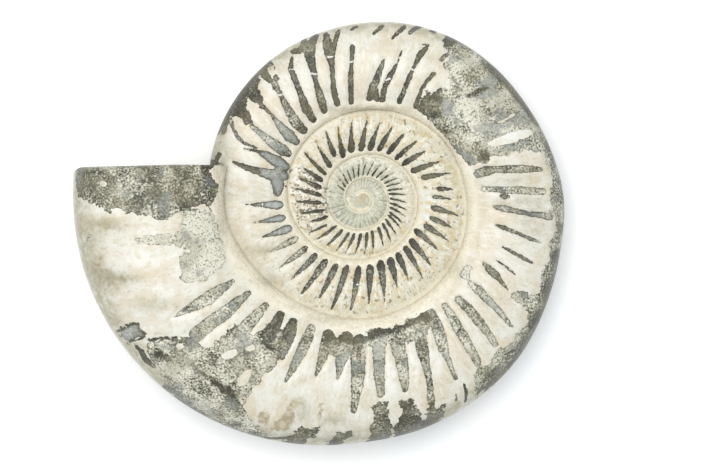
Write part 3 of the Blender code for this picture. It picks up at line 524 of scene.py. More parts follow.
def last_whorl_blades(column, points):
    """Distance into the nearest stroke and its tone, along a column of the last whorl's upper flank."""
    best, tone = np.full(len(points), -REACH), np.full(len(points), 0.5)
    for stroke in near_strokes(column):
        distance = stroke_distance(points, stroke[1:])
        tone = np.where(distance > best, stroke[0], tone)
        best = np.maximum(best, distance)
    return best, tone


def blade_distance(column, radius):
    """Distance into the nearest blade of a whorl inside, along a column of its upper flank."""
    best = np.full(radius.shape, -REACH)
    for back, inner, outer, *widths in BLADES:
        if abs(column - back) > BLADE_REACH:
            continue
        along = (radius - inner) / (outer - inner)
        offset = np.abs(np.radians(column - back) * radius)
        beyond = np.maximum(np.maximum(inner - radius, radius - outer), 0)
        distance = np.where(beyond > 0, -np.hypot(beyond, offset), blade_half_width(along, widths) - offset)
        best = np.maximum(best, distance)
    return best


def underside_distance(column, share, radius):
    """Distance into the nearest groove of the lower flank, which narrows outwards."""
    first, last, count = UNDERSIDE_RUN
    pitch = (last - first) / (count - 1)
    nearest = first + round((column - first) / pitch) * pitch
    open_share = share / OPEN_SHARE if column > EMERGES else share
    start, end = UNDERSIDE_ENDS
    along = (open_share - start) / (end - start)
    offset = np.abs(np.radians(column - nearest) * radius)
    widest = np.radians(pitch) * radius * UNDERSIDE_WIDTH / 2
    half = widest * np.sqrt(np.clip(4 * along * (1 - along), 0, 1)) * (1.2 - 0.5 * along)
    beyond = np.minimum(np.abs(along), np.abs(along - 1)) * REACH
    return np.where((along < 0) | (along > 1), -beyond, half - offset)


def inner_tone(column, share):
    """Tone of the blades of the whorls inside. Those with a painted bluish reflection go dark at their outer
    end.
    """
    value = float(np.interp(column, *zip(*INNER_TONE_KEYS)))
    return np.where((value < 0) & (share > DARK_FROM), DARK_TONE, value)


def blades_at(column, share, side, radius, angle):
    """Distance into the nearest blade or groove and its tone, along a column of both flanks."""
    if column <= EMERGES:
        plan = np.stack([radius * np.cos(angle), radius * np.sin(angle)], axis=1)
        blade, tone = last_whorl_blades(column, plan)
    else:
        blade, tone = blade_distance(column, radius), inner_tone(column, share)
    blade = np.where(side > 0, blade, underside_distance(column, share, radius))
    return blade, np.where(side > 0, tone, UNDERSIDE_TONE)


def relief(column, share, side, blade):
    """How far the surface lies below the ribs. There is none at the seam, the sawn end or the outer edge."""
    sunk = np.where(side > 0, BLADE_SUNK, UNDERSIDE_SUNK) * smooth_step((blade + BLADE_SOFT) / BLADE_SLOPE)
    sunk = sunk + RIB_SWELL * smooth_step((blade + SWELL_SOFT) / SWELL_SLOPE)
    fade = smooth_step(share / RELIEF_FROM) * smooth_step((column - SAWN_BACK) / SAWN_FADE)
    return sunk * (fade * (1 - smooth_step((share - RELIEF_TO) / RELIEF_FADE)))


COLUMN_STEP = 0.62  # between the columns of the last whorl, in degrees
# Columns beside each blade of the whorls inside, as shares of the way to the middle of the rib, and how far
# back they go.
BLADE_COLUMNS = (
    (715.0, (-0.8, -0.62, -0.48, -0.36, -0.25, -0.14, -0.05, 0.05, 0.14, 0.25, 0.36, 0.48, 0.62, 0.8, 1.0)),
    (1090.0, (-0.7, -0.42, -0.2, 0.0, 0.2, 0.42, 0.7, 1.0)),
    (NUCLEUS, (-0.4, 0.0, 0.4, 1.0)),
)
RIB_GAPS = (3.2, 9.0)  # degrees: nearer middles are left out, and wider gaps are filled
COLUMN_CLEAR = 0.2
SAWN_COLUMNS = (0.0, 0.15, 0.4, 0.75, 1.2, 1.8, 2.5, 3.4, 4.6, 6.0, 7.8, 9.8, 12.0, 14.4)
# Rows across the open flank of each turn, on top and below, and round the outer edge.
TOP_ROW_COUNTS = (66, 34, 20, 10)
BASE_ROW_COUNTS = (18, 12, 8, 5)
EDGE_ROW_COUNT = 13
SEAM_LIP = 0.012  # of the open flank, between its last row and the seam of the next whorl
SEAM_CROWD = 0.55  # how much closer the rows lie at the seam than at the outer edge


def rows_of(column, side):
    """Shares of the rows across the flank, from the seam to where the next whorl or the edge begins."""
    counts = TOP_ROW_COUNTS if side > 0 else BASE_ROW_COUNTS
    turn = 0 if column <= EMERGES else min(1 + int((column - EMERGES) // TURN), len(counts) - 1)
    even = np.linspace(0.0, 1.0, counts[turn])
    rows = even * (SEAM_CROWD + (1 - SEAM_CROWD) * even) * OPEN_SHARE
    return rows if turn == 0 else rows * (1 - SEAM_LIP)


def rib_middles():
    """Back angles of the blades and small ribs all the way in, none too near and none too far apart."""
    least, most = RIB_GAPS
    middles = np.concatenate([[blade[0] for blade in BLADES], np.linspace(*FINE_RUN)])
    middles = middles[np.r_[True, np.diff(middles) > least]]
    filled = []
    for middle, gap in zip(middles, np.diff(middles, append=2 * middles[-1] - middles[-2])):
        count = max(int(round(gap / most)), 1)
        filled += [middle + gap * i / count for i in range(count)]
    return np.array(filled)


def make_columns():
    """Back angles of every column from the aperture to the nucleus, in order."""
    middles = rib_middles()
    columns = list(np.arange(SAWN_BACK + SAWN_COLUMNS[-1] + COLUMN_STEP, EMERGES - COLUMN_CLEAR, COLUMN_STEP))
    for middle, half_cell in zip(middles, np.gradient(middles) / 2):
        shares = next(shares for limit, shares in BLADE_COLUMNS if middle <= limit)
        columns += [middle + share * half_cell for share in shares if middle + share * half_cell > EMERGES]
    spaced = [SAWN_BACK + step for step in SAWN_COLUMNS]
    for column in sorted(columns):
        if column - spaced[-1] > COLUMN_CLEAR and column < NUCLEUS and abs(column - EMERGES) > COLUMN_CLEAR:
            spaced.append(column)
    return sorted(spaced + [EMERGES])


class Surface:
    """Collects the vertices, what the stone looks like at each, and the faces."""

    NAMES = ("blade", "tone", "share", "back", "side", "sawn", "radius")

    def __init__(self):
        self.points, self.looks, self.faces, self.count = [], [], [], 0

    def line(self, column, share, side):
        """Adds a line of vertices along a column and returns their numbers."""
        share, side = np.broadcast_arrays(np.asarray(share, float), np.asarray(side, float))
        back = line_back(column, share)
        inner, outer = seam_radius(back), outer_radius(back)
        radius = inner + share * (outer - inner)
        angle = np.radians(180 + back)
        blade, tone = blades_at(column, share, side, radius, angle)
        height = flank_height(back, share, radius) - relief(column, share, side, blade)
        inset = corner_inset(column, radius) * smooth_step(share / ROUNDED_FROM)
        height = height - inset * height / half_thickness(back)
        radius = radius - inset * (share - 0.5) * 2
        x, y = radius * np.cos(angle), radius * np.sin(angle)
        z = side * height - RISE_TO_LEFT * x - RISE_TO_FRONT * y
        sawn = share > OPEN_SHARE if column == EMERGES else np.full(len(share), column == SAWN_BACK)
        self.points.append(np.stack([x, y, z], axis=1))
        self.looks.append(np.stack([blade, tone, share, back, side, sawn, radius], axis=1))
        self.count += len(share)
        return list(range(self.count - len(share), self.count))

    def lace(self, one, one_keys, other, other_keys):
        """Faces between two lines that may differ in length, whose keys tell how far along a vertex is."""
        i = j = 0
        while i + 1 < len(one) or j + 1 < len(other):
            if j + 1 == len(other) or (i + 1 < len(one) and one_keys[i + 1] <= other_keys[j + 1]):
                corners = (one[i], one[i + 1], other[j])
                i += 1
            else:
                corners = (one[i], other[j + 1], other[j])
                j += 1
            if len(set(corners)) == 3:
                self.faces.append(corners)

    def fan(self, loop, side):
        """Closes the hole in the middle of one side with faces round a point on the dome."""
        self.points.append(np.array([[0.0, 0.0, side * EYE_HEIGHT]]))
        self.looks.append(np.array([[-REACH, 0.5, 0.5, NUCLEUS, side, 0.0, 0.0]]))
        self.faces += [(a, b, self.count) for a, b in zip(loop, loop[1:] + loop[:1])]
        self.count += 1


def edge_shares():
    """Shares from the open flank round to the outermost line, evenly spaced round the edge."""
    first = math.asin(((OPEN_SHARE - CREST_SHARE) / (1 - CREST_SHARE)) ** (EDGE_POWER / 2))
    angles = np.linspace(first, math.pi / 2, EDGE_ROW_COUNT + 1)[1:]
    return CREST_SHARE + (1 - CREST_SHARE) * np.sin(angles) ** (2 / EDGE_POWER)


def add_open_whorl(surface, columns):
    """The last whorl from the aperture back to where it goes under, with the sawn face."""
    edge, top, base = edge_shares(), rows_of(0, 1), rows_of(0, -1)
    shares = np.concatenate([top, edge, edge[-2::-1], base[::-1]])
    sides = np.concatenate([np.ones(len(top) + len(edge)), -np.ones(len(edge) - 1 + len(base))])
    lines = [surface.line(column, shares, sides) for column in columns]
    upper, lower = lines[-1][: len(top)], lines[-1][-len(base) :][::-1]
    # The whorl starts and ends at the two corners of the sawn face.
    lines[0][0], lines[0][-1] = upper[-1], lower[-1]
    keys = range(len(shares))
    for one, other in zip(lines, lines[1:]):
        surface.lace(one, keys, other, keys)
    inside = lines[-1][len(top) - 1 : 1 - len(base)]
    surface.lace(lines[0], np.linspace(0, 1, len(lines[0])), inside, np.linspace(0, 1, len(inside)))
    return [line[0] for line in lines], [line[-1] for line in lines], upper, lower


def add_lapped_whorls(surface, open_columns, columns, feet, first, side):
    """One side of the whorls inside, laced along the seam to the feet of the whorl outside."""
    over_backs = [TURN + float(line_back(column, 0.0)) for column in open_columns + columns]
    line, shares = first[:-1], rows_of(0, side)[:-1]
    rim, rim_backs = [first[-1], line[-1]], [over_backs[0]] * 2
    for column in columns:
        new_shares = rows_of(column, side)
        new_line = surface.line(column, new_shares, side)
        surface.lace(line, shares, new_line, new_shares)
        line, shares = new_line, new_shares
        feet.append(line[0])
        rim.append(line[-1])
        rim_backs.append(float(line_back(column, shares[-1])))
    laced = 1 + sum(back <= rim_backs[-1] for back in over_backs)
    surface.lace(rim, rim_backs, feet[:laced], over_backs[:laced])
    surface.fan(feet[laced - 1 :] + line[1:], side)


def build_surface():
    surface = Surface()
    columns = make_columns()
    open_columns = [column for column in columns if column <= EMERGES]
    lapped = [column for column in columns if column > EMERGES]
    top_feet, base_feet, upper, lower = add_open_whorl(surface, open_columns)
    add_lapped_whorls(surface, open_columns, lapped, top_feet, upper, 1)
    add_lapped_whorls(surface, open_columns, lapped, base_feet, lower, -1)
    return surface


REFLECTION_TONE = 0.55  # the tone under a painted bluish reflection
ZONE_SOFTNESS = 2.4
ISLAND_CRISP = 2.5  # how much sharper the edge of an island is than that of a patch
SAWN_BARE = 1.4  # how far bare matrix shows beside the sawn face
SHELL_FROM = -65.5  # where the sawn end turns to shell
PATCH_WRAP = 45.0  # how fast a patch dies out under the outer edge, in mm per share of the flank


def parted(value):
    """The tone and the share of painted reflection, from values in the tables."""
    return np.where(value < 0, REFLECTION_TONE, value), np.clip(-value, 0.0, 1.0)


def zoned(points, tone, painted_reflection):
    """The tone and the share of painted reflection at each place once the zones are laid over them."""
    for value, *outline in ZONES:
        inside = smooth_step(outline_distance(points, outline) / ZONE_SOFTNESS + 0.5)
        zone_tone, zone_reflection = parted(value)
        tone = tone + (zone_tone - tone) * inside
        painted_reflection = painted_reflection + (zone_reflection - painted_reflection) * inside
    return tone, painted_reflection


def patch_fields(points, share, upper):
    """Distance into the patches of bare matrix, and the tone of the nearest."""
    patch, tone = np.full(len(points), -FAR), np.zeros(len(points))
    for value, *outline in PATCHES:
        distance = outline_distance(points, outline)
        tone = np.where(distance > patch, value, tone)
        patch = np.maximum(patch, distance)
    for island in ISLANDS:
        patch = np.minimum(patch, -ISLAND_CRISP * outline_distance(points, island))
    under = [reach - np.hypot(points[:, 0] - x, points[:, 1] - y) for x, y, reach in UNDER_PATCHES]
    lower = np.maximum(patch - PATCH_WRAP * (1 - share), np.max(under, axis=0))
    return np.where(upper, patch, lower), tone


def bare_patch(points, patch, back, upper, sawn):
    """Leaves the patches out of the upper whorls inside, and bares the sawn face and the stone beside it."""
    patch = np.where(upper & (back > EMERGES), -REACH, patch)
    beside = (back < SAWN_FADE) & ((points[:, 0] < SHELL_FROM) | ~upper)
    patch = np.where(beside, np.maximum(patch, points[:, 1] - SAWN_OFFSET + SAWN_BARE), patch)
    return np.where(sawn, REACH, patch)


def grime_at(points):
    """How much grime there is at each place, from -1 to 1."""
    x, y = points.T
    spots = [
        strength * np.exp(-(((x - at_x) / across) ** 2) - ((y - at_y) / along) ** 2)
        for at_x, at_y, across, along, strength in GRIME
    ]
    return np.clip(np.sum(spots, axis=0), -1.0, 1.0)


def make_looks(surface):
    """What the stone looks like at each vertex, by name."""
    points = np.concatenate(surface.points)[:, :2]
    looks = dict(zip(Surface.NAMES, np.concatenate(surface.looks).T))
    upper, sawn, back = looks.pop("side") > 0, looks.pop("sawn") > 0, looks["back"]
    patch, patch_tone = patch_fields(points, looks["share"], upper)
    patch = bare_patch(points, patch, back, upper, sawn)
    between = (patch > looks["blade"]) & (looks["blade"] < 0.0)
    tone, painted_reflection = parted(np.where(between, patch_tone, looks["tone"]))
    outside = upper & (back < EMERGES)
    for name, plain, zone in zip(("tone", "painted_reflection"), (tone, painted_reflection), zoned(points, tone, painted_reflection)):
        looks[name] = np.where(outside, zone, plain)
    looks["patch"] = np.clip(patch, -REACH, REACH)
    looks["grime"] = np.where(upper, grime_at(points), UNDERSIDE_GRIME)
    marks = {
        "stain": [outline_distance(points, outline) for outline in STAINS],
        "crumble": [outline_distance(points, CRUMBLE)],
        "vein": [stroke_distance(points, vein) for vein in VEINS],
    }
    for name, distances in marks.items():
        looks[name] = np.where(upper, np.clip(np.max(distances, axis=0), -REACH, REACH), -REACH)
    return looks


SHARP_ANGLE = 50  # degrees


def grind_flat(made, ground):
    """Cuts off what lies below the ground height and closes the cut."""
    everything = [*made.verts, *made.edges, *made.faces]
    plane = {"plane_co": (0, 0, ground), "plane_no": (0, 0, -1)}
    cut = bmesh.ops.bisect_plane(made, geom=everything, dist=WELD, clear_outer=True, **plane)
    rim = [part for part in cut["geom_cut"] if isinstance(part, bmesh.types.BMEdge)]
    flat = bmesh.ops.triangle_fill(made, edges=rim, use_beauty=True, normal=(0, 0, -1))
    for face in flat["geom"]:
        if isinstance(face, bmesh.types.BMFace):
            face.smooth = False


def fit_to_frame(made):
    """Grinds the resting flat, centres the fossil over the origin and keeps it inside its box."""
    low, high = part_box("ammonite")
    size = [(high[axis] - low[axis]) / MM for axis in range(3)]
    grind_flat(made, max(vertex.co.z for vertex in made.verts) - size[2])
    lows = [min(vertex.co[axis] for vertex in made.verts) for axis in range(3)]
    highs = [max(vertex.co[axis] for vertex in made.verts) for axis in range(3)]
    shift = (-(lows[0] + highs[0]) / 2, -(lows[1] + highs[1]) / 2, -lows[2])
    bmesh.ops.translate(made, vec=shift, verts=made.verts)
    scales = [min(size[axis] / (highs[axis] - lows[axis]), 1.0) * MM for axis in range(3)]
    bmesh.ops.scale(made, vec=scales, verts=made.verts)


def make_fossil():
    surface = build_surface()
    mesh = bpy.data.meshes.new("ammonite_fossil")
    mesh.from_pydata(np.concatenate(surface.points), [], surface.faces)
    for name, values in make_looks(surface).items():
        attribute = mesh.attributes.new(name, "FLOAT", "POINT")
        attribute.data.foreach_set("value", np.ascontiguousarray(values, np.float32))
    mesh.shade_smooth()
    made = bmesh.new()
    made.from_mesh(mesh)
    bmesh.ops.delete(made, geom=[vertex for vertex in made.verts if not vertex.link_faces], context="VERTS")
    bmesh.ops.recalc_face_normals(made, faces=made.faces)
    fit_to_frame(made)
    made.to_mesh(mesh)
    made.free()
    mesh.set_sharp_from_angle(angle=math.radians(SHARP_ANGLE))
    fossil = bpy.data.objects.new("ammonite_fossil", mesh)
    bpy.context.scene.collection.objects.link(fossil)
    return fossil


STUDIO_LEVEL = 1.36  # how bright a white surface is in the studio
FINE_PITCH = 9.86  # between the ribs of the innermost whorls, in degrees
AGED_BACKS = (345, 460)  # back angles between which the shell turns to the yellower one of the whorls inside

# Colours as they are seen on screen in the studio, of the shell, the bare matrix and the painted
# reflections on its polished hollows.
SEEN = {
    "white": (235, 232, 219), "cream": (225, 215, 194), "aged": (222, 217, 193), "greenish": (196, 196, 173),
    "buff": (224, 208, 178), "ochre": (214, 196, 152), "streak": (215, 203, 166),
    "pale streak": (245, 243, 235), "thin streak": (152, 138, 106), "speck": (172, 160, 128),
    "chip": (140, 124, 92), "rib line": (132, 134, 118),
    # The crease colour, brighter than white, is partly painted light that lifts the shade beside the seams.
    "eye": (205, 182, 146), "crease": (258, 250, 228), "thread": (204, 186, 150), "cleft": (138, 118, 88),
    # Grime and spot also serve as painted shade along the outer edge.
    "clean": (248, 246, 241), "grime": (168, 162, 134), "spot": (150, 138, 106),
    "dark stain": (168, 152, 122), "pale stain": (204, 192, 164), "vein": (232, 233, 228),
    "rim": (58, 54, 42), "olive": (128, 121, 90),
    # The smooth and bluish colours and their rim, blotch and fleck are a painted reflection of light off
    # polished hollows.
    "cool": (132, 136, 133), "smooth": (166, 169, 164), "bluish": (188, 192, 194), "reflection rim": (92, 91, 84),
    "reflection blotch": (134, 132, 118), "reflection fleck": (196, 196, 184),
}
# Colours of the grains of the matrix and of the crumbs, from dark to pale.
MATRIX_COLOURS = (
    (0.0, (50, 47, 36)), (0.22, (86, 83, 67)), (0.48, (141, 139, 119)), (0.75, (203, 199, 179)),
    (1.0, (233, 228, 211)),
)
CRUMB_COLOURS = (
    (0.0, (84, 76, 60)), (0.28, (120, 106, 82)), (0.36, (188, 172, 136)), (0.55, (222, 212, 188)),
    (0.85, (244, 242, 235)),
)


def colour(seen):
    """A colour as it is seen on screen, in the linear values of the shader."""
    return (*[((part / 255 + 0.055) / 1.055) ** 2.4 / STUDIO_LEVEL for part in seen], 1.0)


class Stone:
    """Adds nodes to a material. Inputs are numbers, names of colours or the outputs of other nodes."""

    def __init__(self, material):
        self.tree = material.node_tree
        self.place = self.add("ShaderNodeTexCoord", {}, "Object")

    def add(self, kind, inputs, output, **settings):
        node = self.tree.nodes.new(kind)
        for name, value in settings.items():
            setattr(node, name, value)
        for socket, value in inputs.items():
            if isinstance(value, bpy.types.NodeSocket):
                self.tree.links.new(value, node.inputs[socket])
            else:
                node.inputs[socket].default_value = colour(SEEN[value]) if isinstance(value, str) else value
        return node.outputs[output]

    def read(self, name):
        return self.add("ShaderNodeAttribute", {}, "Fac", attribute_name=name)

    def math(self, operation, *values):
        return self.add("ShaderNodeMath", dict(enumerate(values)), 0, operation=operation)

    def plus(self, one, other):
        return self.math("ADD", one, other)

    def times(self, value, *others):
        for other in others:
            value = self.math("MULTIPLY", value, other)
        return value

    def step(self, value, low, high, start=0.0, end=1.0):
        """Rises smoothly from start to end as the value goes from low to high."""
        ends = {"Value": value, "From Min": low, "From Max": high, "To Min": start, "To Max": end}
        return self.add("ShaderNodeMapRange", ends, 0, interpolation_type="SMOOTHSTEP")

    def mix(self, share, one, other):
        return self.add("ShaderNodeMix", {0: share, 6: one, 7: other}, 2, data_type="RGBA")

    def cover(self, base, *layers):
        """Lays colours over a base, one after another. A layer is its share and its colour."""
        for share, layer in layers:
            base = self.mix(share, base, layer)
        return base

    def ramp(self, value, stops):
        """Reads a colour off a row of colours."""
        node = self.tree.nodes.new("ShaderNodeValToRGB")
        self.tree.links.new(value, node.inputs[0])
        band = node.color_ramp.elements
        while len(band) < len(stops):
            band.new(1.0)
        for element, (place, seen) in zip(band, stops):
            element.position = place
            element.color = colour(seen)
        return node.outputs[0]

    def noise(self, size, detail=2.0, place=None):
        inputs = {"Vector": place or self.place, "Scale": 1 / (size * MM), "Detail": detail}
        return self.add("ShaderNodeTexNoise", inputs, 0)

    def blotches(self, size, detail, low, high, start=0.0, end=1.0, place=None):
        """Noise of a size that rises smoothly from start to end where it goes from low to high."""
        return self.step(self.noise(size, detail, place), low, high, start, end)

    def frayed(self, value, size, detail, reach, low=0, high=1):
        """A value raised and lowered by noise, so that what it bounds has a ragged edge."""
        return self.plus(value, self.blotches(size, detail, low, high, -reach, reach))

    def grains(self, size):
        """A random number for each grain of the stone."""
        warped = self.add("ShaderNodeTexNoise", {"Vector": self.place, "Scale": 0.6 / (size * MM)}, 1)
        spread = self.add("ShaderNodeVectorMath", {0: warped, 3: size * MM * 1.6}, 0, operation="SCALE")
        place = self.add("ShaderNodeVectorMath", {0: self.place, 1: spread}, 0, operation="ADD")
        cells = self.add("ShaderNodeTexVoronoi", {"Vector": place, "Scale": 1 / (size * MM)}, "Color")
        return self.add("ShaderNodeSeparateColor", {0: cells}, 0)


def streaks(stone, back, radius, age, inside):
    """Yellowish, pale and thin dark streaks that follow the ribs."""
    place = {0: stone.times(back, 0.0009), 1: stone.times(radius, 0.00025)}
    flow = stone.add("ShaderNodeCombineXYZ", place, 0)
    pale = stone.plus(stone.times(age, 0.3), 0.5)
    thin = stone.times(stone.blotches(0.8, 4, 0.57, 0.68, place=flow), stone.blotches(4, 2, 0.4, 0.6))
    return (
        (stone.blotches(1.8, 4, 0.52, 0.7, 0, 0.5, flow), "streak"),
        (stone.times(stone.blotches(1.2, 4, 0.46, 0.34, place=flow), pale), "pale streak"),
        (stone.times(thin, stone.step(inside, 0, 1, 0.3, 0.75)), "thin streak"),
    )


def rib_lines(stone, back, radius):
    """Fine dark lines between the small ribs of the innermost whorls, and a mottle round them."""
    wave = stone.math("SINE", stone.times(back, math.radians(TURN / FINE_PITCH)))
    fine = stone.times(stone.step(wave, 0.2, 0.9, 0, 0.8), stone.blotches(4, 3, 0.4, 0.6))
    inner = stone.times(stone.step(back, 940, 1000), stone.step(radius, 4, 7))
    mottle = stone.times(stone.blotches(1, 5, 0.46, 0.62, 0, 0.45), stone.step(back, 860, 960))
    return stone.math("MAXIMUM", stone.times(fine, inner), mottle)


def seam_layers(stone, share, age):
    """The pale crease along a seam, its fine threads and its dark cleft.
    The crease is partly the shell's pale band and partly painted light that lifts the shade beside the seam.
    """
    seam = stone.frayed(share, 1.8, 4, 0.04)
    lapped = stone.times(stone.step(share, 0.7, 0.78), age)
    # Painted light: the crease lifts the shade on the walls on both sides of the seam.
    crease = stone.math("MAXIMUM", stone.step(share, 0.16, 0.05), lapped)
    threads = stone.step(stone.math("SINE", stone.times(seam, 240)), 0.2, 0.9)
    return (
        (stone.times(crease, stone.blotches(3, 4, 0.3, 0.6, 0.45, 0.85)), "crease"),
        (stone.times(threads, stone.step(seam, 0.09, 0.05, 0, 0.45)), "thread"),
        (stone.times(stone.step(seam, 0.008, -0.006), stone.blotches(6, 2, 0.35, 0.6, 0.05, 0.4)), "cleft"),
    )


def grime_and_edge_shade_layers(stone, share):
    """Whiter places, and yellowish grime with darker spots in it. Along the outer edge the same colours are
    painted shade where the edge rounds away.
    """
    grime = stone.read("grime")
    clean = stone.times(stone.step(grime, 0, -1), stone.blotches(3, 4, 0.3, 0.6), 0.8)
    # The grime is raised along the outer edge as painted shade.
    grime_and_edge_shade = stone.math("MAXIMUM", grime, stone.step(share, 0.84, 0.98))
    grime_and_edge_shade = stone.times(grime_and_edge_shade, stone.blotches(4, 5, 0.3, 0.6, 0.5, 1))
    spots = stone.times(grime_and_edge_shade, stone.blotches(1.4, 5, 0.5, 0.62), 0.55)
    return (clean, "clean"), (stone.times(grime_and_edge_shade, 0.9), "grime"), (spots, "spot")


def shell_colour(stone):
    """White and cream calcite, yellower on the whorls inside, with seams, grime, stains and a tan eye."""
    back, share, radius = stone.read("back"), stone.read("share"), stone.read("radius")
    age = stone.step(back, *AGED_BACKS)
    inside = stone.times(age, stone.step(back, 1000, 800))
    stain = stone.step(stone.frayed(stone.read("stain"), 2, 4, 1.6), -0.8, 0.5, 0, 0.85)
    return stone.cover(
        stone.mix(stone.blotches(8, 4, 0.36, 0.66), "white", "cream"),
        (stone.times(age, 0.6), "aged"),
        (stone.step(radius, 17.5, 12, 0, 0.85), "greenish"),
        (stone.blotches(16, 3, 0.5, 0.68, 0, 0.4), "buff"),
        (stone.times(stone.blotches(3.4, 4, 0.48, 0.62), inside, 0.8), "ochre"),
        *streaks(stone, back, radius, age, inside),
        (stone.blotches(1.1, 5, 0.54, 0.7, 0, stone.step(inside, 0, 1, 0.28, 0.6)), "speck"),
        (stone.times(stone.blotches(2, 5, 0.6, 0.66), inside, 0.8), "chip"),
        (rib_lines(stone, back, radius), "rib line"),
        (stone.step(stone.frayed(radius, 1.3, 4, 1.6, 0.2, 0.8), 2.4, 1.2, 0, 0.7), "eye"),
        *seam_layers(stone, share, age),
        *grime_and_edge_shade_layers(stone, share),
        (stain, stone.mix(stone.blotches(2.4, 4, 0.4, 0.62), "dark stain", "pale stain")),
    )


def grain_light(stone, tone, share):
    """How light the grains of the matrix are. They are darker at the outer edge, as painted shade where the
    flank rounds over, and darker towards the seam.
    """
    # Painted shade on the matrix at the rounded outer edge; the matrix is also darker towards the seam.
    edge_shade_and_seam_dark = stone.plus(stone.step(share, 0.9, 1, 0, 0.25), stone.step(share, 0.2, 0.08, 0, 0.2))
    depth = stone.frayed(stone.plus(tone, edge_shade_and_seam_dark), 7, 4, 0.25, 0.25, 0.75)
    contrast = stone.times(stone.blotches(5, 3, 0.35, 0.65, 2, 3.6), stone.step(tone, 0.55, 0.9, 1, 0.7))
    grain = stone.times(stone.math("SUBTRACT", stone.noise(0.85, 5), 0.5), contrast)
    light = stone.plus(grain, stone.step(depth, 0.1, 1.15, 0.95, 0.02))
    head = stone.times(stone.step(share, 0.5, 0.15, 0, 0.22), stone.step(stone.read("back"), *AGED_BACKS))
    return stone.math("SUBTRACT", light, head)


def matrix_colour(stone, edge):
    """Bare matrix: a base as dark as its tone with dark and pale grains, or a painted grey to bluish
    reflection.
    """
    tone, share, painted_reflection = stone.read("tone"), stone.read("share"), stone.read("painted_reflection")
    dark = stone.step(tone, 0.65, 0.9)
    olive = stone.plus(stone.blotches(13, 2, 0.42, 0.62, 0, 0.35), stone.times(dark, 0.1))
    cool = stone.times(stone.blotches(10, 2, 0.44, 0.36, 0, 0.5), stone.math("SUBTRACT", 1, dark))
    # Painted reflection: a grey to bluish sheen with a darker rim, blotches and flecks, for light off
    # polished hollows.
    reflection_tint = stone.mix(stone.step(painted_reflection, 0.5, 0.85), "smooth", "bluish")
    smooth = stone.cover(
        stone.mix(stone.step(edge, 0.1, 1.7), "reflection rim", reflection_tint),
        (stone.blotches(2.2, 5, 0.45, 0.62, 0, 0.6), "reflection blotch"),
        (stone.blotches(0.8, 3, 0.44, 0.34, 0, 0.5), "reflection fleck"),
    )
    return stone.cover(
        stone.ramp(grain_light(stone, tone, share), MATRIX_COLOURS),
        (olive, "olive"),
        (cool, "cool"),
        (stone.step(stone.frayed(painted_reflection, 1.6, 4, 0.25, 0.25, 0.75), 0.05, 0.6, 0, 0.8), smooth),
    )


def crumble_colour(stone):
    """Yellow, white and dark crumbs."""
    crumbs = stone.mix(stone.blotches(3, 2, 0.4, 0.6), stone.grains(1.3), stone.grains(0.8))
    return stone.ramp(crumbs, CRUMB_COLOURS)


def bare_edge(stone, vein):
    """Distance into the bare matrix of the blades and patches, which the veins cross."""
    blade = stone.frayed(stone.read("blade"), 1.5, 3, 0.45)
    patch = stone.frayed(stone.read("patch"), 2.6, 5, 2)
    return stone.math("MINIMUM", stone.math("MAXIMUM", blade, patch), stone.times(vein, -1))


def stone_material():
    material = bpy.data.materials.new("polished_fossil_stone")
    material.use_nodes = True
    stone = Stone(material)
    vein = stone.frayed(stone.read("vein"), 0.9, 2, 0.3)
    edge = bare_edge(stone, vein)
    rim = stone.times(stone.step(edge, 0.75, 0.15), stone.step(stone.read("tone"), 0, 0.8, 0.45, 0.8))
    rim = stone.times(rim, stone.blotches(3, 4, 0.35, 0.6, 0.35, 1))
    matrix = stone.mix(rim, matrix_colour(stone, edge), "rim")
    crumbs = stone.step(stone.frayed(stone.read("crumble"), 2.4, 3, 2.4), -0.3, 0.3, 0, 0.8)
    shell = stone.mix(crumbs, shell_colour(stone), crumble_colour(stone))
    shell = stone.mix(stone.step(vein, -0.3, 0.3, 0, 0.7), shell, "vein")
    pits = stone.plus(stone.noise(1.1, 4), stone.times(stone.noise(5, 3), 0.8))
    bump = {"Height": pits, "Strength": stone.step(edge, -0.2, 0.3, 0.16, 0.3), "Distance": 0.6 * MM}
    outputs = {
        "Base Color": stone.mix(stone.step(edge, -0.14, 0.14), shell, matrix),
        "Roughness": stone.step(edge, -0.2, 0.3, 0.28, 0.42),
        "Normal": stone.add("ShaderNodeBump", bump, 0),
    }
    shader = material.node_tree.nodes["Principled BSDF"]
    for name, output in outputs.items():
        material.node_tree.links.new(output, shader.inputs[name])
    shader.inputs["Specular IOR Level"].default_value = 0.4
    return material


# The camera looks straight down. One pixel of the view is 0.425 mm at the height of the flank.
VIEW_WIDTH = 300.9
VIEW_CENTRE = (14.9, -1.1)
CAMERA_HEIGHT = 2500.0
FLANK_HEIGHT = 36.0
SENSOR_WIDTH = 36.0
CLIP_END = 20.0  # metres

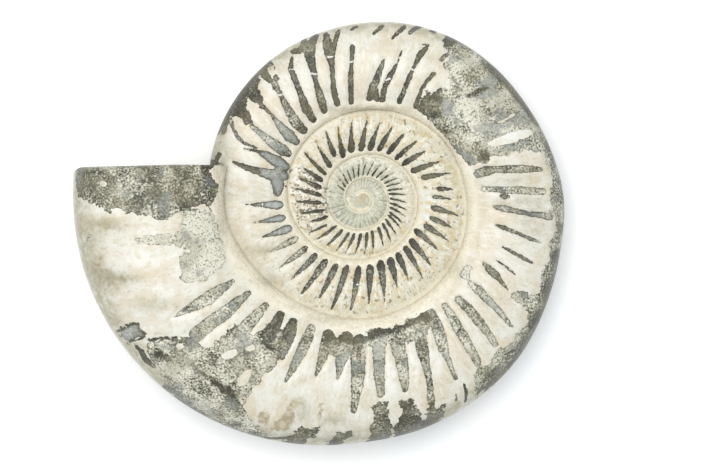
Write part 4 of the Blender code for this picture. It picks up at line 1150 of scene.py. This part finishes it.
# The studio, in metres and watts.
FLOOR_HALF = 4.0
FLOOR_COLOUR = (0.96, 0.96, 0.96, 1)
FLOOR_ROUGHNESS = 0.8
SKY_COLOUR = (0.91, 0.96, 1.0, 1)
SKY_STRENGTH = 1.0
KEY_PLACE = (-0.37, 0.45, 1.8)
KEY_SIZE = 1.6
KEY_POWER = 23
KEY_COLOUR = (1.0, 0.97, 0.92)


def make_camera():
    data = bpy.data.cameras.new("camera")
    data.lens = SENSOR_WIDTH * (CAMERA_HEIGHT - FLANK_HEIGHT) / VIEW_WIDTH
    data.sensor_width = SENSOR_WIDTH
    data.clip_end = CLIP_END
    camera = bpy.data.objects.new("camera", data)
    camera.location = (VIEW_CENTRE[0] * MM, VIEW_CENTRE[1] * MM, CAMERA_HEIGHT * MM)
    bpy.context.scene.collection.objects.link(camera)
    bpy.context.scene.camera = camera


def make_floor():
    mesh = bpy.data.meshes.new("floor")
    corners = [(x * FLOOR_HALF, y * FLOOR_HALF, 0) for x, y in ((-1, -1), (1, -1), (1, 1), (-1, 1))]
    mesh.from_pydata(corners, [], [(0, 1, 2, 3)])
    floor = bpy.data.objects.new("floor", mesh)
    material = bpy.data.materials.new("floor")
    material.use_nodes = True
    material.node_tree.nodes["Principled BSDF"].inputs["Base Color"].default_value = FLOOR_COLOUR
    material.node_tree.nodes["Principled BSDF"].inputs["Roughness"].default_value = FLOOR_ROUGHNESS
    mesh.materials.append(material)
    bpy.context.scene.collection.objects.link(floor)


def make_light():
    """A pale sky and one soft round light, high above and turned to the fossil."""
    world = bpy.data.worlds.new("studio")
    world.use_nodes = True
    world.node_tree.nodes["Background"].inputs["Color"].default_value = SKY_COLOUR
    world.node_tree.nodes["Background"].inputs["Strength"].default_value = SKY_STRENGTH
    bpy.context.scene.world = world
    data = bpy.data.lights.new("key", "AREA")
    data.shape = "DISK"
    data.size = KEY_SIZE
    data.energy = KEY_POWER
    data.color = KEY_COLOUR
    light = bpy.data.objects.new("key", data)
    light.location = KEY_PLACE
    light.rotation_euler = (-light.location).to_track_quat("-Z", "Y").to_euler()
    bpy.context.scene.collection.objects.link(light)
    bpy.context.scene.view_settings.view_transform = "Standard"


def main():
    fossil = make_fossil()
    fossil.data.materials.append(stone_material())
    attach(fossil, "root")
    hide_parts("ammonite")
    make_camera()
    make_floor()
    make_light()


main()
